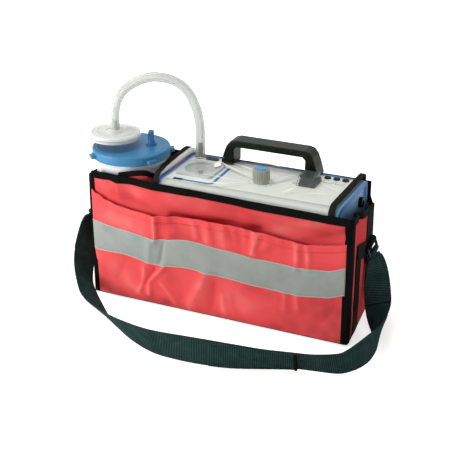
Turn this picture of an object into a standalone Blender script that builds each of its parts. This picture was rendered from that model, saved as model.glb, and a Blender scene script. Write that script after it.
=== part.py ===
"""A portable battery suction pump standing in its carrying bag, with its collection jar beside it.

Sizes and places are in millimetres, and MM turns them into metres where a mesh is made. +X is to the
right of someone facing the front pocket, +Y is to the back and +Z is up. The origin is on the ground,
under the middle of the bag.
"""

import math

import bmesh
import bpy
from mathutils import Vector

MM = 0.001
GAP = 0.3  # clearance between pieces that touch
OVER = 1.0  # how far a cutter or a joined shape runs past the face it meets
MERGE = 1e-4  # points closer than this are one point
SHARP_DEG = 35.0  # edges that turn by more than this are shaded sharp
BEVEL_DEG = 50.0  # edges that turn by more than this are rounded
CURVE_STEPS = 24  # steps between two points of a route

# Bag panels
FABRIC = 2.0
BAG_FLOOR = 3.0
BAG_FRONT = -64.5
BAG_BACK = 74.5
FRONT_LEFT_X = -192.0
FRONT_RIGHT_X = 208.0
BACK_LEFT_X = -199.0
BACK_RIGHT_X = 195.0
LEFT_BULGE = 12.3  # the jar pushes the left end out
FRONT_LEAN = 2.0  # the front leans out by this much over FRONT_LEAN_HEIGHT
FRONT_LEAN_HEIGHT = 190.0
FRONT_TOP_LEFT = 195.0
FRONT_TOP_RIGHT = 188.0
BACK_TOP = 194.0
BACK_STEP = 8.0  # above the right end the back is narrower by this much
END_TOP_FRONT = 189.0
END_TOP_BACK = 158.0
DIVIDER_X = -95.0
DIVIDER_TOP = 176.0
PANEL_BOTTOM = BAG_FLOOR + GAP
PANEL_DIVISIONS = 4
LEFT_DIVISIONS = 12
END_ROWS = 3
END_FRONT = BAG_FRONT + FABRIC + GAP
END_BACK = BAG_BACK - FABRIC - GAP

# Front pocket and reflective band
POCKET_COLUMNS = 16
POCKET_ROWS = 8
BAND_ROWS = 3
POCKET_FABRIC = 1.5
POCKET_INSET = 1.0
POCKET_BULGE = 6.6
POCKET_TOP_MIDDLE = 150.0
POCKET_TOP_RISE = 12.0  # the mouth climbs by this much towards both sides
BAND_FABRIC = 0.6
BAND_HEIGHT = 41.0
BAND_MIDDLE_Z = 92.0
BAND_RISE = 6.0

# Clear cover over the control panel
COVER_LEFT = -92.0
COVER_RIGHT = 179.5
COVER_SHEET = 0.8
COVER_Z = 200.2
COVER_BEND = 6.0
COVER_EASE = 2.0  # room round whatever stands up through the cover
COVER_WINDOW_CORNER = 4.0
COVER_FRONT_Y = -62.9
COVER_FRONT_Z = 184.0
COVER_BACK_Y = 71.6
COVER_BACK_Z = 186.0

# Pump case
CASE_LEFT = -80.0
CASE_RIGHT = 178.0
CASE_FRONT = -61.5
CASE_BACK = 66.0
CASE_TOP = 195.0
CASE_BOTTOM = PANEL_BOTTOM
CASE_WALL = 2.5
CASE_FRONT_RADIUS = 14.0
CASE_BACK_RADIUS = 8.0
LEFT_CAP_X = -86.0
RIGHT_CAP_X = 185.0
CAP_RIM = 7.0
CAP_RECESS = 3.0
CAP_EDGE = 1.5
BASE_PLATE_BOTTOM = 5.3
BASE_PLATE_TOP = 9.3
FOOT_RADIUS = 8.0
FOOT_INSET = 16.0
INNER_FLOOR = BASE_PLATE_TOP + GAP

# Control panel
OVERLAY_BOTTOM = CASE_TOP + GAP
OVERLAY_TOP = OVERLAY_BOTTOM + 0.6
OVERLAY_LEFT = -76.0
OVERLAY_RIGHT = 174.0
OVERLAY_FRONT = -47.0
OVERLAY_BACK = 57.5
PANEL_Z = OVERLAY_TOP + GAP  # parts that sit on the panel start here
CASE_CEILING = CASE_TOP - CASE_WALL

# Carrying handle
HANDLE_LEFT = -29.5
HANDLE_RIGHT = 121.0
HANDLE_FRONT = 35.0
HANDLE_BACK = 65.0
HANDLE_TOP = 234.0
HANDLE_GRIP = 10.0
HANDLE_SIDE = ((0, 0), (4, 0.4), (9, 0.76), (15, 0.95), (22, 1))  # (lean inwards, share of the height)
HANDLE_FOOT = 20.5
HANDLE_INNER = 4.0  # chamfer in the upper corners of the opening
HANDLE_EDGE = 2.5

# Vacuum gauge
GAUGE_X = -44.0
GAUGE_Y = 0.0
GAUGE_SIDE = 56.0
GAUGE_CORNER = 5.0
GAUGE_TOP = 199.3
GAUGE_CAN_RADIUS = 25.0
GAUGE_CAN_BOTTOM = 176.0
GAUGE_BORE = 23.0
GAUGE_FLOOR = 189.0
DIAL_THICKNESS = 1.0
LENS_BOTTOM = 196.5
LENS_TOP = 198.9
POINTER_BOTTOM = 191.6
POINTER_THICKNESS = 0.9
POINTER_HUB = 3.2
POINTER_HUB_TOP = 194.6
POINTER_REACH = 19.5
POINTER_TAIL = 9.0
POINTER_WIDTH = 2.2
POINTER_REST_DEG = -42.0

# Vacuum regulator
KNOB_X = 53.0
KNOB_Y = -7.5
KNOB_RADIUS = 11.5
KNOB_ROOT = 10.7
KNOB_RIBS = 20
KNOB_TOP = 216.0
KNOB_BORE = 3.5
KNOB_BORE_TOP = 200.0
SPINDLE_RADIUS = 3.1
SPINDLE_TOP = 199.6
VALVE_RADIUS = 10.0
VALVE_BOTTOM = 160.0
CAP_RADIUS = 8.0
CAP_POCKET = 1.8
CAP_TOP = 217.0

# Power switch
SWITCH_X = 115.0
SWITCH_Y = 16.5
SWITCH_FLANGE = (24.0, 30.0)
SWITCH_FLANGE_TOP = 198.2
SWITCH_BODY = (20.0, 26.6)
SWITCH_BODY_BOTTOM = 182.0
SWITCH_FLANGE_CORNER = 2.0
SWITCH_BODY_CORNER = 1.0
SWITCH_CAVITY_CORNER = 0.8
SWITCH_CAVITY = (17.0, 24.0)
SWITCH_CAVITY_FLOOR = 188.0
ROCKER_WIDTH = 16.0
ROCKER_HALF = 10.5
ROCKER_PIVOT_Z = 199.0
ROCKER_UNDER = 5.0
ROCKER_EDGE = 3.5
ROCKER_DIP = 1.5
ROCKER_TILT_DEG = 8.0
SPLASH_FOOT = (28.0, 34.0)
SPLASH_CROWN = (23.0, 28.0)
SPLASH_WALL = 1.2
SPLASH_TOP = 209.0
SPLASH_CORNER = 3.0

# Indicator lamps
LAMP_XS = (132.5, 145.8, 159.0)
LAMP_Y = 45.0
BEZEL_RADIUS = 5.0
BEZEL_BORE = 2.7
BEZEL_TOP = 198.4
BEZEL_EDGE = 1.0
LAMP_RADIUS = 2.4
LAMP_TOP = 199.3
LAMP_DOME = ((0.0, 0.0), (0.6, 0.4), (1.0, 1.6))  # (share of the radius, drop below the top)
LAMP_BOTTOM = 172.0

# Ports and sockets on the case
PORT_X = -68.0
PORT_Y = 49.4
PORT_FLANGE = 9.0
PORT_FLANGE_TOP = 198.2
PORT_COLLAR = 7.0
PORT_TOP = 204.0
PORT_SHANK = 4.5
PORT_BOTTOM = 178.0
PORT_BORE = 1.8
EXHAUST_X = -47.0
EXHAUST_Y = 45.5
EXHAUST_FLANGE = (21.0, 9.0)
EXHAUST_SHANK = (16.0, 5.6)
EXHAUST_SLOT = (12.0, 3.0)
EXHAUST_TOP = 198.0
EXHAUST_BOTTOM = 189.0
SOCKET_Y = 41.0
SOCKET_Z = 170.0
SOCKET_FLANGE = 7.5
SOCKET_FLANGE_X = 187.4
SOCKET_SHANK = 5.5
SOCKET_INNER_X = 172.0
SOCKET_BORE = 4.0
SOCKET_BORE_X = 176.0

# Motor and diaphragm pump, whose shaft runs along X
SHAFT_Y = 0.0
SHAFT_Z = 52.0
SHAFT_RADIUS = 4.0
SHAFT_RIGHT = 9.0
MOTOR_LEFT = -37.7
MOTOR_RIGHT = 14.0
MOTOR_RADIUS = 25.0
MOTOR_BORE = 4.5
MOTOR_BORE_RIGHT = 10.0
WEB_LEFT = -50.0
WEB_RIGHT = -46.0
WEB_RADIUS = 8.5
CRANK_THROW = 3.0
PIN_LEFT = -58.0
PIN_RADIUS = 4.0
ROD_LEFT = -57.6
ROD_RIGHT = -50.4
ROD_EYE = 8.0
ROD_BORE = 4.35
ROD_NECK = 6.0
ROD_PLATE_RADIUS = 9.0
ROD_PLATE_BOTTOM = 91.5
CRANKCASE_LEFT = -72.0
CRANKCASE_RIGHT = -38.0
CRANKCASE_HALF = 20.0
CRANKCASE_TOP = 95.0
CRANKCASE_WALL = 4.0
CRANKCASE_SUMP = 20.0
SHAFT_HOLE = 4.6
DIAPHRAGM = 2.0
HEAD_TOP = 122.0
CHAMBER_RADIUS = 13.0
CHAMBER_DEPTH = 3.0
BARB_X = -62.0
BARB_Y = 8.0
BARB_RADIUS = 3.6
BARB_TOP = 131.0

# Battery and electronics
BATTERY_LEFT = 20.0
BATTERY_RIGHT = 171.0
BATTERY_FRONT = -8.0
BATTERY_BACK = 57.0
BATTERY_TOP = 103.6
BATTERY_CORNER = 3.0
BRACKET_X = 95.0
BRACKET_WIDTH = 20.0
BRACKET_SHEET = 1.5
BRACKET_FLANGE = 10.0
BOARD_LEFT = 95.0
BOARD_RIGHT = 168.0
BOARD_FRONT = 10.0
BOARD_BACK = 60.0
BOARD_BOTTOM = 170.0
BOARD_THICKNESS = 1.6
BOSS_RADIUS = 3.0
BOSSES = ((100.0, 55.0), (163.0, 15.0))
HOSE_RADIUS = 4.0
HOSE_ROUTE = (
    (-62.0, 8.0, 131.3),
    (-62.0, 8.0, 140.0),
    (-62.6, 14.0, 150.0),
    (-65.0, 29.0, 158.0),
    (-67.4, 44.0, 164.0),
    (-68.0, 49.4, 171.0),
    (-68.0, 49.4, 177.7),
)
HOSE_POINTS = 12

# Collection jar and lid
JAR_X = -152.0
JAR_Y = -8.5
JAR_FOOT_RADIUS = 49.5
JAR_RADIUS = 51.5
JAR_WALL = 2.5
JAR_BOTTOM = 3.6
JAR_HEEL = 5.0
JAR_TOP = 209.0
SEAL_INNER = 48.5
SEAL_OUTER = 51.3
SEAL_HEIGHT = 1.4
LID_RADIUS = 57.0
LID_TOP = 221.0
LID_BOTTOM = 208.0
LID_INNER = 52.4
LID_EDGE = 2.5
LID_CEILING = JAR_TOP + 2 * GAP + SEAL_HEIGHT
LUG_ANGLES = (-130.0, -32.0, 31.0, 131.0)
LUG_REACH = 63.0
LUG_WIDTH = 16.0
LUG_TAPER = 0.7  # width of a lug's tip as a share of its root
LUG_BOTTOM = 210.5
LUG_TOP = 215.0
SPOUT_X = -126.0
SPOUT_Y = 5.0
SPOUT_FLANGE = 7.5
SPOUT_FLANGE_HEIGHT = 3.0
SPOUT_FOOT = 5.0
SPOUT_TIP = 4.1
SPOUT_HEIGHT = 21.0
SPOUT_BORE = 1.8

# Overflow float and filter, one above the other
FILTER_X = -172.5
FILTER_Y = -18.4
CAGE_RADIUS = 14.0
CAGE_WALL = 2.0
CAGE_BOTTOM = 168.0
CAGE_SLOT = 8.0
CAGE_HOLE = 6.3
FLOAT_RADIUS = 10.5
FLOAT_HEIGHT = 20.0
FLOAT_DOME = 5.0
FLOAT_SHOULDER = (0.7, 0.35)  # (share of the radius, share of the dome's drop)
FILTER_RADIUS = 37.0
FILTER_SPLIT = 237.7
FILTER_STUB = 6.0
FILTER_STUB_TOP = 246.0
FILTER_LOWER_PROFILE = ((FILTER_RADIUS, 234.5), (34.0, 232.5), (9.0, 231.0), (FILTER_STUB, 227.5))
FILTER_UPPER_PROFILE = ((FILTER_STUB, FILTER_STUB_TOP), (9.0, 243.5), (34.0, 242.0), (FILTER_RADIUS, 240.5))
MEMBRANE = 0.6
MEMBRANE_RADIUS = 35.5

# Silicone tube from the filter over to the vacuum port, in (share of the span, height above ground)
TUBE_RADIUS = 7.0
TUBE_ROUTE = (
    (0.0, FILTER_STUB_TOP + GAP),
    (0.004, 266.0),
    (0.022, 281.0),
    (0.068, 295.0),
    (0.146, 306.0),
    (0.288, 316.0),
    (0.425, 320.3),
    (0.505, 320.3),
    (0.634, 317.0),
    (0.77, 308.0),
    (0.87, 294.0),
    (0.938, 276.0),
    (0.978, 258.0),
    (0.998, 238.0),
    (1.0, PORT_TOP + GAP),
)
TUBE_POINTS = 12

# Shoulder strap: middle of the webbing and the direction across it, from the left ring to the right one
STRAP_WIDTH = 38.0
STRAP_THICKNESS = 2.0
STRAP_COLUMNS = 4
STRAP_SAMPLES = 84
STRAP_ROUTE = (
    ((-224.2, 4.0, 101.8), (0.0, -1.0, 0.0)),
    ((-226.6, 4.0, 95.0), (-0.1, -0.98, 0.06)),
    ((-228.8, 0.5, 85.5), (-0.35, -0.86, 0.36)),
    ((-230.0, -5.5, 74.0), (-0.52, -0.73, 0.45)),
    ((-227.5, -25.0, 52.0), (-0.6, -0.6, 0.53)),
    ((-219.0, -49.0, 36.5), (-0.52, -0.57, 0.64)),
    ((-205.0, -73.0, 26.5), (-0.46, -0.54, 0.7)),
    ((-186.0, -96.0, 22.0), (-0.52, -0.55, 0.65)),
    ((-166.0, -118.0, 20.3), (-0.55, -0.59, 0.6)),
    ((-144.0, -138.0, 19.5), (-0.46, -0.59, 0.66)),
    ((-119.5, -156.0, 19.3), (-0.33, -0.53, 0.78)),
    ((-93.5, -170.5, 19.4), (-0.23, -0.44, 0.87)),
    ((-66.0, -182.5, 19.7), (-0.14, -0.32, 0.94)),
    ((-37.0, -191.5, 20.0), (-0.06, -0.19, 0.98)),
    ((-7.5, -194.5, 20.2), (0.0, -0.05, 1.0)),
    ((37.0, -192.0, 20.5), (0.0, 0.06, 1.0)),
    ((81.0, -186.0, 20.6), (0.0, -0.05, 1.0)),
    ((124.0, -175.0, 20.4), (0.09, -0.3, 0.95)),
    ((166.0, -162.0, 20.4), (0.13, -0.43, 0.9)),
    ((191.3, -156.5, 20.6), (0.19, -0.4, 0.9)),
    ((218.6, -145.0, 19.7), (0.16, -0.25, 0.95)),
    ((229.2, -134.8, 20.2), (0.06, -0.13, 0.99)),
    ((239.5, -115.5, 21.3), (-0.09, -0.02, 1.0)),
    ((245.5, -94.0, 21.8), (-0.12, 0.03, 0.99)),
    ((248.8, -64.3, 20.8), (0.05, 0.03, 1.0)),
    ((248.0, -49.4, 20.5), (0.19, 0.01, 0.98)),
    ((244.1, -35.0, 21.5), (0.4, 0.02, 0.92)),
    ((238.4, -21.5, 24.2), (0.6, 0.04, 0.8)),
    ((232.8, -8.4, 28.6), (0.8, 0.08, 0.59)),
    ((228.0, 4.2, 35.0), (0.93, 0.15, 0.33)),
    ((223.7, 14.8, 44.4), (0.94, 0.33, 0.07)),
    ((216.8, 27.4, 70.5), (0.66, 0.75, -0.04)),
    ((212.6, 31.5, 84.5), (0.44, 0.9, 0.0)),
    ((208.8, 33.4, 97.2), (0.08, 1.0, 0.0)),
)

# Sewn tabs and rings that carry the strap
TAB_WIDTH = 38.0
TAB_WEB = 1.6
TAB_BOTTOM = 92.0
LOOP_Z = 114.0
LOOP_OUTER = 4.4
LOOP_INNER = 2.9
LEFT_TAB_Y = 4.0
RIGHT_TAB_Y = 34.0
RING_WIRE = 2.0
RING_HALF = 23.0
RING_REACH = 14.0
LEFT_RING_DROP_DEG = 37.0
RIGHT_RING_DROP_DEG = 70.0
RING_CORNER = 4.0

# Roundness of turned pieces, in steps
COARSE = 16
MEDIUM = 24
FINE = 40

# Colour as (red, green, blue) in linear light, then roughness and metallic
FINISHES = {
    "red_nylon": ((0.72, 0.07, 0.08), 0.75, 0.0),
    "reflective_tape": ((0.34, 0.37, 0.34), 0.45, 0.1),
    "black_webbing": ((0.03, 0.045, 0.04), 0.8, 0.0),
    "clear_pvc": ((0.85, 0.87, 0.86), 0.15, 0.0),
    "white_abs": ((0.75, 0.77, 0.73), 0.4, 0.0),
    "blue_abs": ((0.16, 0.29, 0.5), 0.4, 0.0),
    "panel_film": ((0.72, 0.76, 0.71), 0.5, 0.0),
    "black_abs": ((0.015, 0.018, 0.016), 0.45, 0.0),
    "grey_abs": ((0.4, 0.42, 0.36), 0.5, 0.0),
    "clear_polycarbonate": ((0.8, 0.84, 0.85), 0.1, 0.0),
    "lid_blue": ((0.15, 0.36, 0.6), 0.35, 0.0),
    "spout_blue": ((0.02, 0.12, 0.35), 0.35, 0.0),
    "silicone": ((0.66, 0.68, 0.64), 0.35, 0.0),
    "filter_white": ((0.8, 0.81, 0.79), 0.4, 0.0),
    "rubber": ((0.02, 0.02, 0.02), 0.8, 0.0),
    "steel": ((0.56, 0.56, 0.56), 0.3, 1.0),
    "aluminium": ((0.7, 0.7, 0.7), 0.4, 1.0),
    "circuit_green": ((0.02, 0.18, 0.06), 0.5, 0.0),
}


def clear_scene():
    for obj in list(bpy.data.objects):
        bpy.data.objects.remove(obj, do_unlink=True)


def finish_of(name):
    """The material of this name, made on first use."""
    known = bpy.data.materials.get(name)
    if known:
        return known
    colour, roughness, metallic = FINISHES[name]
    material = bpy.data.materials.new(name)
    material.use_nodes = True
    shader = material.node_tree.nodes["Principled BSDF"]
    shader.inputs["Base Color"].default_value = (*colour, 1.0)
    shader.inputs["Roughness"].default_value = roughness
    shader.inputs["Metallic"].default_value = metallic
    return material


def place(name, bm, finish, origin=(0, 0, 0), parent=None):
    """Makes an object of a mesh in world millimetres, with its own origin."""
    bmesh.ops.remove_doubles(bm, verts=bm.verts, dist=MERGE)
    bmesh.ops.recalc_face_normals(bm, faces=bm.faces)
    bmesh.ops.translate(bm, vec=-Vector(origin), verts=bm.verts)
    bmesh.ops.scale(bm, vec=(MM, MM, MM), verts=bm.verts)
    mesh = bpy.data.meshes.new(name)
    bm.to_mesh(mesh)
    bm.free()
    mesh.shade_smooth()
    mesh.set_sharp_from_angle(angle=math.radians(SHARP_DEG))
    obj = bpy.data.objects.new(name, mesh)
    bpy.context.scene.collection.objects.link(obj)
    obj.location = Vector(origin) * MM
    obj.data.materials.append(finish_of(finish))
    if parent:
        obj.parent = parent
        obj.location = (Vector(origin) * MM) - parent.location
    return obj


def helper(bm, finish="steel"):
    """A hidden shape that another object is cut by or joined to."""
    obj = place("helper", bm, finish)
    obj.hide_render = True
    obj.display_type = "WIRE"
    return obj


def combine(obj, other, operation):
    modifier = obj.modifiers.new(operation.lower(), "BOOLEAN")
    modifier.operation = operation
    modifier.object = other
    modifier.solver = "EXACT"


def cut(obj, *shapes):
    for bm in shapes:
        combine(obj, helper(bm), "DIFFERENCE")


def join(obj, *shapes):
    for bm in shapes:
        combine(obj, helper(bm), "UNION")


def round_edges(obj, width, segments=2):
    modifier = obj.modifiers.new("edges", "BEVEL")
    modifier.width = width * MM
    modifier.segments = segments
    modifier.limit_method = "ANGLE"
    modifier.angle_limit = math.radians(BEVEL_DEG)


def loft(loops):
    """A closed solid through loops of equal count, capped at the first and the last."""
    bm = bmesh.new()
    rings = [[bm.verts.new(point) for point in loop] for loop in loops]
    count = len(rings[0])
    for lower, upper in zip(rings, rings[1:]):
        for i in range(count):
            j = (i + 1) % count
            bm.faces.new((lower[i], lower[j], upper[j], upper[i]))
    bm.faces.new(rings[0])
    bm.faces.new(rings[-1])
    return bm


def on_axis(axis, a, b, along):
    """A point from its two coordinates across an axis and the one along it."""
    return {"x": (along, a, b), "y": (a, along, b), "z": (a, b, along)}[axis]


def prism(outline, axis, low, high):
    """A flat outline extruded between two places along an axis."""
    return loft([[on_axis(axis, a, b, level) for a, b in outline] for level in (low, high)])


def block(x0, x1, y0, y1, z0, z1):
    return prism([(x0, y0), (x1, y0), (x1, y1), (x0, y1)], "z", z0, z1)


def turned(profile, centre, axis="z", steps=MEDIUM, hollow=False):
    """A profile of (radius, place along the axis) spun once round; hollow closes the profile on itself."""
    bm = bmesh.new()
    a, b = centre
    ring = [bm.verts.new(on_axis(axis, a + radius, b, along)) for radius, along in profile]
    pairs = list(zip(ring, ring[1:]))
    if hollow:
        pairs.append((ring[-1], ring[0]))
    edges = [bm.edges.new(pair) for pair in pairs]
    bmesh.ops.spin(
        bm,
        geom=ring + edges,
        cent=on_axis(axis, a, b, 0),
        axis=on_axis(axis, 0, 0, 1),
        angle=2 * math.pi,
        steps=steps,
        use_merge=True,
    )
    return bm


def rod(centre, radius, low, high, axis="z", steps=MEDIUM):
    return turned([(0, high), (radius, high), (radius, low), (0, low)], centre, axis, steps)


def arc(centre, radius, start, end, steps):
    """Points on an arc, angles in degrees."""
    points = []
    for i in range(steps + 1):
        angle = math.radians(start + (end - start) * i / steps)
        points.append((centre[0] + radius * math.cos(angle), centre[1] + radius * math.sin(angle)))
    return points


def rounded_rectangle(centre, size, radius, steps=3):
    x, y = centre
    half_x = size[0] / 2 - radius
    half_y = size[1] / 2 - radius
    return (
        arc((x + half_x, y + half_y), radius, 0, 90, steps)
        + arc((x - half_x, y + half_y), radius, 90, 180, steps)
        + arc((x - half_x, y - half_y), radius, 180, 270, steps)
        + arc((x + half_x, y - half_y), radius, 270, 360, steps)
    )


def oval(centre, size):
    """A long round-ended outline."""
    length, width = size
    return rounded_rectangle(centre, (length, width), width / 2 - 1e-3, 5)


def sheet(surface, thickness, across, up):
    """A thin closed sheet: its outer face follows surface(u, v), its inner face lies at an offset."""
    bm = bmesh.new()
    offset = Vector(thickness)
    outer = []
    inner = []
    for j in range(up + 1):
        row = [Vector(surface(i / across, j / up)) for i in range(across + 1)]
        outer.append([bm.verts.new(point) for point in row])
        inner.append([bm.verts.new(point + offset) for point in row])
    for j in range(up):
        for i in range(across):
            for side in (outer, inner):
                bm.faces.new((side[j][i], side[j][i + 1], side[j + 1][i + 1], side[j + 1][i]))
    rim = [(0, i) for i in range(across)]
    rim += [(j, across) for j in range(up)]
    rim += [(up, across - i) for i in range(across)]
    rim += [(up - j, 0) for j in range(up)]
    for (j0, i0), (j1, i1) in zip(rim, rim[1:] + rim[:1]):
        bm.faces.new((outer[j0][i0], outer[j1][i1], inner[j1][i1], inner[j0][i0]))
    return bm


def smooth_curve(points, count):
    """Evenly spaced points on a smooth curve through the route's own points, of any dimension."""
    knots = [Vector(p) for p in points]
    knots = [knots[0] * 2 - knots[1]] + knots + [knots[-1] * 2 - knots[-2]]
    dense = []
    for a, b, c, d in zip(knots, knots[1:], knots[2:], knots[3:]):
        for i in range(CURVE_STEPS):
            t = i / CURVE_STEPS
            square = (2 * a - 5 * b + 4 * c - d) * t**2
            cube = (3 * b - a - 3 * c + d) * t**3
            dense.append(0.5 * (2 * b + (c - a) * t + square + cube))
    dense.append(knots[-2])
    travelled = [0.0]
    for a, b in zip(dense, dense[1:]):
        travelled.append(travelled[-1] + (b.to_3d() - a.to_3d()).length)
    even = []
    k = 0
    for i in range(count):
        goal = travelled[-1] * i / (count - 1)
        while k < len(dense) - 2 and travelled[k + 1] < goal:
            k += 1
        share = (goal - travelled[k]) / max(travelled[k + 1] - travelled[k], 1e-9)
        even.append(dense[k].lerp(dense[k + 1], min(share, 1.0)))
    return even


def piped(name, points, radius, finish, sides=3, closed=False):
    """A round bar or hose along points in world millimetres."""
    data = bpy.data.curves.new(name, "CURVE")
    data.dimensions = "3D"
    data.bevel_depth = radius * MM
    data.bevel_resolution = sides
    data.use_fill_caps = not closed
    spline = data.splines.new("POLY")
    spline.points.add(len(points) - 1)
    for slot, point in zip(spline.points, points):
        slot.co = (*(Vector(point) * MM), 1.0)
    spline.use_cyclic_u = closed
    data.materials.append(finish_of(finish))
    obj = bpy.data.objects.new(name, data)
    bpy.context.scene.collection.objects.link(obj)
    return obj


# Bag


def front_y(z):
    """Outer face of the front panel, which leans out a little towards its top."""
    return BAG_FRONT - FRONT_LEAN * z / FRONT_LEAN_HEIGHT


def left_x(share):
    """Outer face of the left panel from front to back, pushed out by the jar."""
    straight = FRONT_LEFT_X + (BACK_LEFT_X - FRONT_LEFT_X) * share
    return straight - LEFT_BULGE * math.sin(math.pi * share)


def right_x(y):
    """Outer face of the right panel, which tapers in towards the back."""
    share = (y - BAG_FRONT) / (BAG_BACK - BAG_FRONT)
    return FRONT_RIGHT_X + (BACK_RIGHT_X - FRONT_RIGHT_X) * share


def end_y(share):
    return END_FRONT + (END_BACK - END_FRONT) * share


def end_z(share, up):
    top = END_TOP_FRONT + (END_TOP_BACK - END_TOP_FRONT) * share
    return PANEL_BOTTOM + (top - PANEL_BOTTOM) * up


def left_point(u, v):
    return left_x(u), end_y(u), end_z(u, v)


def right_point(u, v):
    y = end_y(u)
    return right_x(y), y, end_z(u, v)


def front_point(u, v):
    x = FRONT_LEFT_X + (FRONT_RIGHT_X - FRONT_LEFT_X) * u
    top = FRONT_TOP_LEFT + (FRONT_TOP_RIGHT - FRONT_TOP_LEFT) * u
    z = PANEL_BOTTOM + (top - PANEL_BOTTOM) * v
    return x, front_y(z), z


def pocket_x(u):
    left = FRONT_LEFT_X + POCKET_INSET
    right = FRONT_RIGHT_X - POCKET_INSET
    return left + (right - left) * u


def pocket_top(u):
    return POCKET_TOP_MIDDLE + POCKET_TOP_RISE * abs(2 * u - 1) ** 3


def pocket_y(u, z):
    """Outer face of the pocket, standing away from the front most at the middle of its mouth."""
    up = (z - PANEL_BOTTOM) / (pocket_top(u) - PANEL_BOTTOM)
    bulge = POCKET_BULGE * math.sin(math.pi * u) ** 0.5 * max(up, 0) ** 0.5
    return front_y(z) - GAP - POCKET_FABRIC - bulge


def pocket_point(u, v):
    z = PANEL_BOTTOM + (pocket_top(u) - PANEL_BOTTOM) * v
    return pocket_x(u), pocket_y(u, z), z


def band_point(u, v):
    z = BAND_MIDDLE_Z + BAND_RISE * (2 * u - 1) ** 2 + BAND_HEIGHT * (v - 0.5)
    return pocket_x(u), pocket_y(u, z) - GAP - BAND_FABRIC, z


def bag_panels():
    front = sheet(front_point, (0, FABRIC, 0), PANEL_DIVISIONS, PANEL_DIVISIONS)
    place("bag_front_panel", front, "red_nylon")
    narrow_x = BACK_RIGHT_X - BACK_STEP
    outline = [
        (BACK_LEFT_X, PANEL_BOTTOM),
        (BACK_LEFT_X, BACK_TOP),
        (narrow_x, BACK_TOP),
        (narrow_x, END_TOP_BACK + BACK_STEP / 2),
        (BACK_RIGHT_X, END_TOP_BACK),
        (BACK_RIGHT_X, PANEL_BOTTOM),
    ]
    back = prism(outline, "y", BAG_BACK - FABRIC, BAG_BACK)
    place("bag_back_panel", back, "red_nylon")
    left = sheet(left_point, (FABRIC, 0, 0), LEFT_DIVISIONS, END_ROWS)
    place("bag_left_panel", left, "red_nylon")
    right = sheet(right_point, (-FABRIC, 0, 0), PANEL_DIVISIONS, END_ROWS)
    place("bag_right_panel", right, "red_nylon")
    rim = [(FRONT_LEFT_X, BAG_FRONT), (FRONT_RIGHT_X, BAG_FRONT), (BACK_RIGHT_X, BAG_BACK)]
    rim += [(BACK_LEFT_X, BAG_BACK)]
    shares = [1 - i / LEFT_DIVISIONS for i in range(1, LEFT_DIVISIONS)]
    rim += [(left_x(share), end_y(share)) for share in shares]
    place("bag_bottom", prism(rim, "z", 0, BAG_FLOOR), "black_webbing")
    divider = block(DIVIDER_X, DIVIDER_X + FABRIC, END_FRONT, END_BACK, PANEL_BOTTOM, DIVIDER_TOP)
    place("bag_divider", divider, "red_nylon")


def front_pocket():
    pocket = sheet(pocket_point, (0, POCKET_FABRIC, 0), POCKET_COLUMNS, POCKET_ROWS)
    place("front_pocket", pocket, "red_nylon")
    band = sheet(band_point, (0, BAND_FABRIC, 0), POCKET_COLUMNS, BAND_ROWS)
    place("reflective_band", band, "reflective_tape")


def clear_cover():
    """A bent clear sheet that hangs in front of and behind the pump, with holes for what stands up."""
    half = COVER_SHEET / 2
    front = COVER_FRONT_Y
    back = COVER_BACK_Y
    top = COVER_Z
    upper = [
        (back + half, COVER_BACK_Z),
        (back + half, top - COVER_BEND / 3),
        (back - COVER_BEND / 3 + half, top + half),
        (front + 2 * COVER_BEND, top + half),
        (front + COVER_BEND, top - COVER_BEND / 3 + half),
        (front - half, top - COVER_BEND * 1.5),
        (front - half, COVER_FRONT_Z),
    ]
    lower = [
        (front + half, COVER_FRONT_Z),
        (front + half, top - COVER_BEND * 1.5 - half / 2),
        (front + COVER_BEND + half / 2, top - COVER_BEND / 3 - half),
        (front + 2 * COVER_BEND, top - half),
        (back - COVER_BEND / 3, top - half),
        (back - half, top - COVER_BEND / 3 - half / 2),
        (back - half, COVER_BACK_Z),
    ]
    cover = place("clear_cover", prism(upper + lower, "x", COVER_LEFT, COVER_RIGHT), "clear_pvc")
    low = top - COVER_BEND
    high = top + COVER_BEND
    ease = COVER_EASE
    foot = HANDLE_FOOT + 2 * ease
    legs = [HANDLE_LEFT - ease, HANDLE_RIGHT + ease - foot]
    cut(cover, *[block(x, x + foot, HANDLE_FRONT - ease, HANDLE_BACK + ease, low, high) for x in legs])
    cut(cover, rod((KNOB_X, KNOB_Y), KNOB_RADIUS + ease, low, high))
    cut(cover, rod((PORT_X, PORT_Y), PORT_FLANGE + ease / 2, low, high))
    size = [side + ease for side in SPLASH_FOOT]
    window = rounded_rectangle((SWITCH_X, SWITCH_Y), size, COVER_WINDOW_CORNER)
    cut(cover, prism(window, "z", low, high))


# Pump case


def case_outline(inset):
    """The case seen from its end, as a closed outline with rounded top corners."""
    front = CASE_FRONT + inset
    back = CASE_BACK - inset
    top = CASE_TOP - inset
    front_radius = CASE_FRONT_RADIUS - inset
    back_radius = CASE_BACK_RADIUS - inset
    return (
        [(back, CASE_BOTTOM)]
        + arc((back - back_radius, top - back_radius), back_radius, 0, 90, 4)
        + arc((front + front_radius, top - front_radius), front_radius, 90, 180, 6)
        + [(front, CASE_BOTTOM)]
    )


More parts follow.
